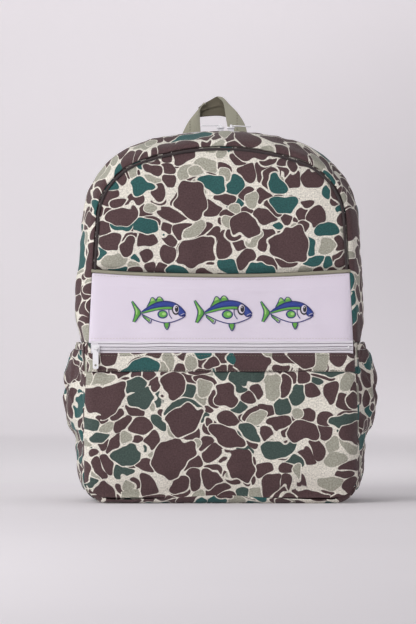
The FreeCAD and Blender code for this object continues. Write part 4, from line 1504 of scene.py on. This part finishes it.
def anchor_tab(side, sign):
    """The sewn tab that holds the webbing's foot; its two sides narrow towards the top."""
    tab = Pile()
    t = np.linspace(0, 1, 12)
    up = np.linspace(0, 1, 10)
    x = (106 + 24 * t)[:, None] + (1.5 - 3 * t)[:, None] * up[None]
    z = np.broadcast_to(18.5 + 20.5 * up[None], x.shape)
    rim = np.minimum.reduce([x - 106, 130 - x, z - 18.5, 39 - z])
    face = 67.3 - 2.2 * np.exp(-rim / 1.6)
    for depth, is_back in ((face, False), (np.full(x.shape, 62.6), True)):
        tab.grid(np.stack([x * sign, depth, z], -1) * MM, flip=(sign < 0) == is_back)
    on_bag(soften(tab.make("anchor_patch_" + side, OLIVE, "olive_fabric")), "anchor_tab_" + side)
    rows = Pile()
    for height in (22.0, 35.5):
        x = np.linspace(109, 127, 12) * sign
        path = np.stack([x, np.full(12, 67.2), np.full(12, height)], -1) * MM
        stitches(rows, path, backwards(path))
    on_bag(rows.make("anchor_stitches_" + side, THREAD, "embroidery_thread"))


def strap_webs():
    hanging = (0, 0.96, 0.28)
    for side, sign in (("left", -1), ("right", 1)):
        for name, points, node in (
            ("strap_end_web", END_WEB, "strap_end_"),
            ("strap_tail_web", TAIL_WEB, "strap_tail_"),
        ):
            obj = webbing(name, side, sign, points, hanging)
            on_body(obj, "shoulder_strap_" + side, node + side)
        obj = webbing("strap_lower_web", side, sign, LOWER_WEB, (0, 0.9, -0.3))
        on_web(obj, "strap_webbing_" + side)
        anchor_tab(side, sign)


def yoke():
    lo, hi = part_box("strap_yoke")
    heights = fine(lo.z - 2 * MM, hi.z + 2 * MM, 1.5 * MM)
    x, z = np.meshgrid(np.linspace(lo.x, hi.x, 90), heights, indexing="ij")
    inner_edge = np.clip((np.abs(x) - 22 * MM) / (6 * MM), 0, 1)
    over_strap = inner_edge * np.clip((74 * MM - np.abs(x)) / (6 * MM), 0, 1)
    y = BACK + 2.6 * MM + 2.6 * MM * over_strap + RIPPLES(np.stack([x, x * 0, z], -1)) * 0.3 * MM
    y = y - 2.2 * MM * np.exp(-rim_distance(x, z) / (1.3 * MM))
    grid = np.stack([x, y, z], -1)
    on_bag(cloth_sheet("yoke_cloth", grid, None, OLIVE, "olive_fabric", outward=backwards), "strap_yoke")
    rows = Pile()
    for index in (2, -3):
        path, out = row_of(grid, index, backwards)
        stitches(rows, path[3:-3], out[3:-3])
    on_bag(rows.make("yoke_stitches", THREAD, "embroidery_thread"))


# ---- fish ----


def on_twill(pile, flat, out, uv, wrap=False):
    """A patch of satin stitch at (x, z) points, standing out from the band's face."""
    y = band_depth(flat[..., 0], flat[..., 1]) - out * MM
    grid = np.stack([flat[..., 0], y, flat[..., 1]], -1)
    pile.grid(grid, uv, wrap=wrap, flip=inside_out(grid, frontwards))


def leaf(pile, upper, lower, centre, rise, count=26, across=7, dome=0.35):
    """An embroidered patch between an upper and a lower curve, in millimetres from the fish's middle."""
    base = -0.25  # its edge is sunk a little into the band
    a = curve_through(upper, count)
    b = curve_through(lower, count)
    t = np.linspace(0, 1, across)
    flat = across_curves(a, b, t) * MM + np.array(centre)
    width = np.linalg.norm(a - b, axis=1)
    full = np.minimum(1, width / 1.2)[:, None]
    hump = (1 - np.abs(2 * t - 1) ** 4)[None] ** 0.5 * full
    ends = np.minimum(1, np.minimum(np.arange(count), np.arange(count)[::-1]) / 1.5)[:, None]
    run = run_length(a) * MM
    uv = np.stack([np.repeat(run[:, None], across, 1), t[None] * width[:, None] * MM], -1)
    on_twill(pile, flat, base + (rise - base + dome) * hump * ends, uv)


def stroke(pile, points, centre, width, rise, count=40):
    """A line of satin stitch along a curve, in millimetres from the fish's middle."""
    line_xz = curve_through(points, count)
    tangent = np.gradient(line_xz, axis=0)
    tangent /= np.linalg.norm(tangent, axis=1)[:, None]
    side = np.stack([-tangent[:, 1], tangent[:, 0]], -1) * width / 2
    leaf(pile, line_xz + side, line_xz - side, centre, rise, count=count, across=5, dome=0.2)


def disc(pile, at, radii, centre, rise, base):
    """A domed oval patch: its middle and its radii along x and z, in millimetres from the fish's middle."""
    r = np.linspace(0.02, 1, 6)[:, None]
    t = np.linspace(0, 2 * math.pi, 25)[:-1]
    x = at[0] + radii[0] * r * np.cos(t)[None]
    z = at[1] + radii[1] * r * np.sin(t)[None]
    flat = np.stack([x, z], -1) * MM + np.array(centre)
    out = base + (rise - base) * (1 - r**6) ** 0.5
    on_twill(pile, flat, out, np.concatenate([flat, flat[:, :1]], 1), wrap=True)


def fish_body(piles, curve, c):
    back = curve(
        (-21, -0.6), (-14, 4.5), (-4, 9.8), (6, 11.6), (16, 9.8), (23.5, 5.2), (28.6, -0.6), (29.0, -3.0)
    )
    band_low = curve(
        (-21, -1.6), (-14, 1.2), (-4, 4.0), (6, 5.2), (14, 5.0), (19.5, 1.6), (21.6, -4.0), (25.0, -5.2),
        (29.0, -3.4),
    )
    stripe_top = curve((-21, -1.5), (-14, 1.4), (-4, 4.2), (6, 5.4), (15, 5.4))
    stripe_low = curve((-21, -2.6), (-14, -1.2), (-4, 1.2), (6, 2.3), (15, 2.0))
    belly = curve(
        (-21, -3.0), (-14, -6.5), (-5, -10.6), (5, -13.0), (14, -12.2), (22, -9.4), (27.4, -6.6), (29.6, -3.4)
    )
    navy = piles["navy"]
    leaf(piles["blue"], back, band_low, c, 0.75, count=40)
    leaf(piles["green"], stripe_top, stripe_low, c, 0.75)
    stroke(navy, back, c, 1.3, 1.1, count=50)
    stroke(navy, band_low, c, 0.8, 1.1, count=50)
    stroke(navy, stripe_low, c, 0.8, 1.0)
    stroke(navy, belly, c, 1.3, 0.8, count=50)
    gill = curve((12.0, 5.2), (10.4, 1.5), (10.8, -3.6), (14.0, -8.6))
    stroke(navy, gill, c, 1.05, 1.0)
    stroke(piles["white"], curve((28.4, -2.2), (26.0, -3.2), (23.8, -4.4)), c, 1.1, 1.4)
    mouth = curve((29.4, -3.8), (26.0, -5.6), (22.6, -5.4))
    stroke(navy, mouth, c, 0.9, 1.2)


def fish_fins(piles, curve, c):
    navy, green, pale = (piles[name] for name in ("navy", "green", "pale"))
    tail_left = curve((-32.4, 11.4), (-30.6, 6.4), (-28.4, 0.0), (-29.2, -6.2), (-31.0, -12.0))
    tail_right = curve((-31.2, 12.2), (-26.2, 5.6), (-21.4, -1.2), (-24.4, -7.0), (-28.6, -12.8))
    leaf(green, tail_left, tail_right, c, 0.7)
    glint = curve((-29.8, 7.0), (-27.6, 1.4), (-27.4, -4.0))
    leaf(pale, glint, curve((-28.4, 6.6), (-24.8, 0.8), (-25.8, -4.4)), c, 1.05)
    stroke(navy, tail_left, c, 1.1, 1.05)
    stroke(navy, tail_right, c, 1.1, 1.05)
    for fin in (
        curve((-15.0, 4.6), (-11.8, 10.4), (-9.8, 15.0), (-7.6, 15.6), (-4.6, 12.8), (-2.6, 10.8)),
        curve((-5.6, 10.4), (-3.6, 14.2), (-1.4, 16.4), (1.2, 16.0), (3.4, 13.6), (4.6, 11.4)),
    ):
        leaf(green, fin[:4], [fin[0], fin[-1], fin[4], fin[3]], c, 0.65)
        leaf(pale, fin[1:3], [fin[4], fin[3]], c, 0.95)
        stroke(navy, fin, c, 1.15, 1.05)
    rear = curve((-19.4, -4.4), (-14.6, -7.0), (-10.6, -9.6))
    leaf(green, rear, curve((-18.4, -6.6), (-14.6, -10.0), (-11.6, -12.6)), c, 0.65)
    leaf(pale, curve((-15.6, -7.6), (-11.4, -10.4)), curve((-15.4, -9.0), (-12.0, -11.6)), c, 0.95)
    rear = curve((-19.6, -4.2), (-18.6, -6.9), (-14.8, -10.4), (-11.8, -13.2), (-10.2, -12.6), (-9.4, -9.4))
    stroke(navy, rear, c, 1.1, 1.0)
    front = curve((5.0, -12.8), (5.6, -16.4), (8.0, -20.0))
    leaf(green, front, curve((11.0, -12.6), (10.4, -16.2), (8.6, -20.0)), c, 0.65)
    front = curve((4.8, -13.2), (5.4, -16.8), (8.2, -20.8), (10.8, -16.8), (11.2, -13.0))
    stroke(navy, front, c, 1.1, 1.0)


# A fish's side fin and eye, in mm: colour, middle, radii, and how far the middle and the edge stand out.
FISH_DISCS = (
    ("navy", (3.2, -3.4), (6.0, 4.9), 1.0, 0.3),
    ("green", (3.4, -3.4), (4.6, 3.6), 1.25, 0.9),
    ("pale", (4.8, -3.0), (2.3, 1.8), 1.5, 1.1),
    ("black", (18.4, 2.4), (4.7, 6.5), 1.15, 0.5),
    ("white", (18.5, 2.5), (3.7, 5.4), 1.4, 0.8),
    ("black", (19.2, 2.6), (2.3, 3.9), 1.65, 1.1),
    ("white", (18.7, 4.4), (0.7, 0.9), 1.85, 1.3),
)


def fish(index, x, z, size):
    """A plain striped fish facing right, in satin stitch; its curves are in millimetres from its middle."""

    def curve(*points):
        return [(px * size, pz * size) for px, pz in points]

    piles = {name: Pile() for name in ("blue", "navy", "green", "pale", "white", "black")}
    fish_body(piles, curve, (x, z))
    fish_fins(piles, curve, (x, z))
    for name, at, radii, rise, base in FISH_DISCS:
        at, radii = curve(at, radii)
        disc(piles[name], at, radii, (x, z), rise, base)
    made = []
    for name, pile in piles.items():
        made.append(pile.make("fish_%d_%s" % (index, name), SATIN[name], "embroidery_thread"))
        on_flap(made[-1])
    return made[0]


def all_fish():
    height = 218.6 * MM
    places = ((-69.8, 1.0), (3.8, 1.07), (76.6, 0.98))  # x in mm and size of each fish
    shown = [fish(index, x * MM, height, size) for index, (x, size) in enumerate(places, 1)]
    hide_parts("fish_embroidery")


# ---- stage ----


BLACK = (0, 0, 0, 1)
PAPER_GLOW = 0.545 / 0.85  # the backdrop's own light, before the lit pools darken it outside


def darkened(m, glow, by, share):
    """The glow, made darker by an amount where share is 0."""
    return m.mix(share, m.mix(by, glow, BLACK), glow)


def backdrop_paper():
    """Pale paper whose own soft glow stands for the photograph's uneven studio light."""
    m = Maker("backdrop", roughness=0.95)
    place = m.node("TexCoord", None, 3)
    tint = m.mix(m.noise(place, 3.0, 2.0), srgb(226, 222, 225), srgb(222, 218, 221))
    glow = darkened(m, tint, 0.70, m.step(m.distance(place, (-0.3, -1.0, 0.0)), 0.4, 2.1))
    # painted shadow: the bag's soft shadow on the backdrop to its right, from the key light on the left
    glow = darkened(m, glow, 0.42, m.step(m.distance(place, (0.95, 4.4, 0.35)), 0.2, 1.3))
    middle = m.node("VectorMath", {0: place}, 1, operation="LENGTH")
    glow = darkened(m, glow, 0.3, m.step(middle, 1.6, 4.2))
    left_pool = m.step(m.distance(place, (-1.1, 0.9, 0)), 1.1, 1.9)
    right_pool = m.step(m.distance(place, (0.65, -0.55, 0)), 0.42, 0.85)
    outside = m.maths("MULTIPLY", left_pool, right_pool)
    glow = m.mix(outside, glow, m.mix(0.15, glow, BLACK))
    # painted contact shadow on the floor just in front of the bag's foot
    squashed = m.node("VectorMath", {0: place, 1: (0.62, 1, 1)}, 0, operation="MULTIPLY")
    glow = darkened(m, glow, 0.6, m.step(m.distance(squashed, (0.01, -0.01, 0)), 0.04, 0.24))
    m.tree.links.new(glow, m.shader.inputs["Emission Color"])
    m.shader.inputs["Emission Strength"].default_value = PAPER_GLOW
    return m.finish(tint)


def sweep_floor():
    """A pale round floor that curves up into a wall, which starts 3.2 m out and stands 4.5 m out."""
    flat_to, bend_radius = 3.2, 1.3
    bend = np.linspace(0.05, math.pi / 2, 16)
    radius = np.concatenate([np.linspace(0.01, flat_to, 8), flat_to + bend_radius * np.sin(bend), [4.5]])
    height = np.concatenate([np.zeros(8), bend_radius * (1 - np.cos(bend)), [1.8]])
    turn = np.linspace(0, 2 * math.pi, 65)[:-1]
    flat = radius[:, None, None] * np.stack([np.cos(turn), np.sin(turn)], -1)[None]
    grid = np.concatenate([flat, np.broadcast_to(height[:, None, None], flat.shape[:2] + (1,))], -1)
    soften(one("floor", grid, backdrop_paper(), None, wrap=True))


def area(name, at, look, size, power, colour=(1, 1, 1)):
    light = bpy.data.lights.new(name, "AREA")
    light.shape = "RECTANGLE"
    light.size, light.size_y = size
    light.energy = power
    light.color = colour
    obj = bpy.data.objects.new(name, light)
    obj.location = at
    obj.rotation_euler = (Vector(look) - Vector(at)).to_track_quat("-Z", "Y").to_euler()
    bpy.context.scene.collection.objects.link(obj)


def studio():
    scene = bpy.context.scene
    scene.view_settings.view_transform = "Standard"
    world = bpy.data.worlds.new("studio")
    world.use_nodes = True
    sky = world.node_tree.nodes["Background"]
    sky.inputs["Color"].default_value = (0.93, 0.92, 0.95, 1)
    sky.inputs["Strength"].default_value = 0.21
    scene.world = world
    area("key", (-1.15, -1.2, 1.05), (0, 0, 0.2), (1.2, 1.2), 23, (1.0, 0.99, 1.0))
    area("fill", (1.6, -2.2, 0.9), (0, 0, 0.2), (1.5, 1.5), 1.5, (1.0, 0.97, 0.96))
    area("top", (-0.2, 0.3, 2.2), (0, 0, 0), (1.6, 1.6), 5)
    camera = bpy.data.cameras.new("camera")
    camera.sensor_width = 36
    camera.lens = 149.4
    obj = bpy.data.objects.new("camera", camera)
    distance = 3.0
    left, height = -33.7 * MM, 0.1553
    obj.location = (left, ZIP_Y - distance, height)
    target = Vector((left + 0.0064 * distance, ZIP_Y, height + 0.0212 * distance))
    obj.rotation_euler = (target - obj.location).to_track_quat("-Z", "Y").to_euler()
    scene.collection.objects.link(obj)
    scene.camera = obj


def main():
    for build in (
        studio, sweep_floor, build_ring, dome, seam_shade_cord, band, pocket, strip, band_trim, front_zip,
        main_zip, hard_parts, walls, linings, side_pockets, grab_handle, handle_ends, back_pad,
        shoulder_straps, strap_webs, yoke, all_fish,
    ):
        build()


main()
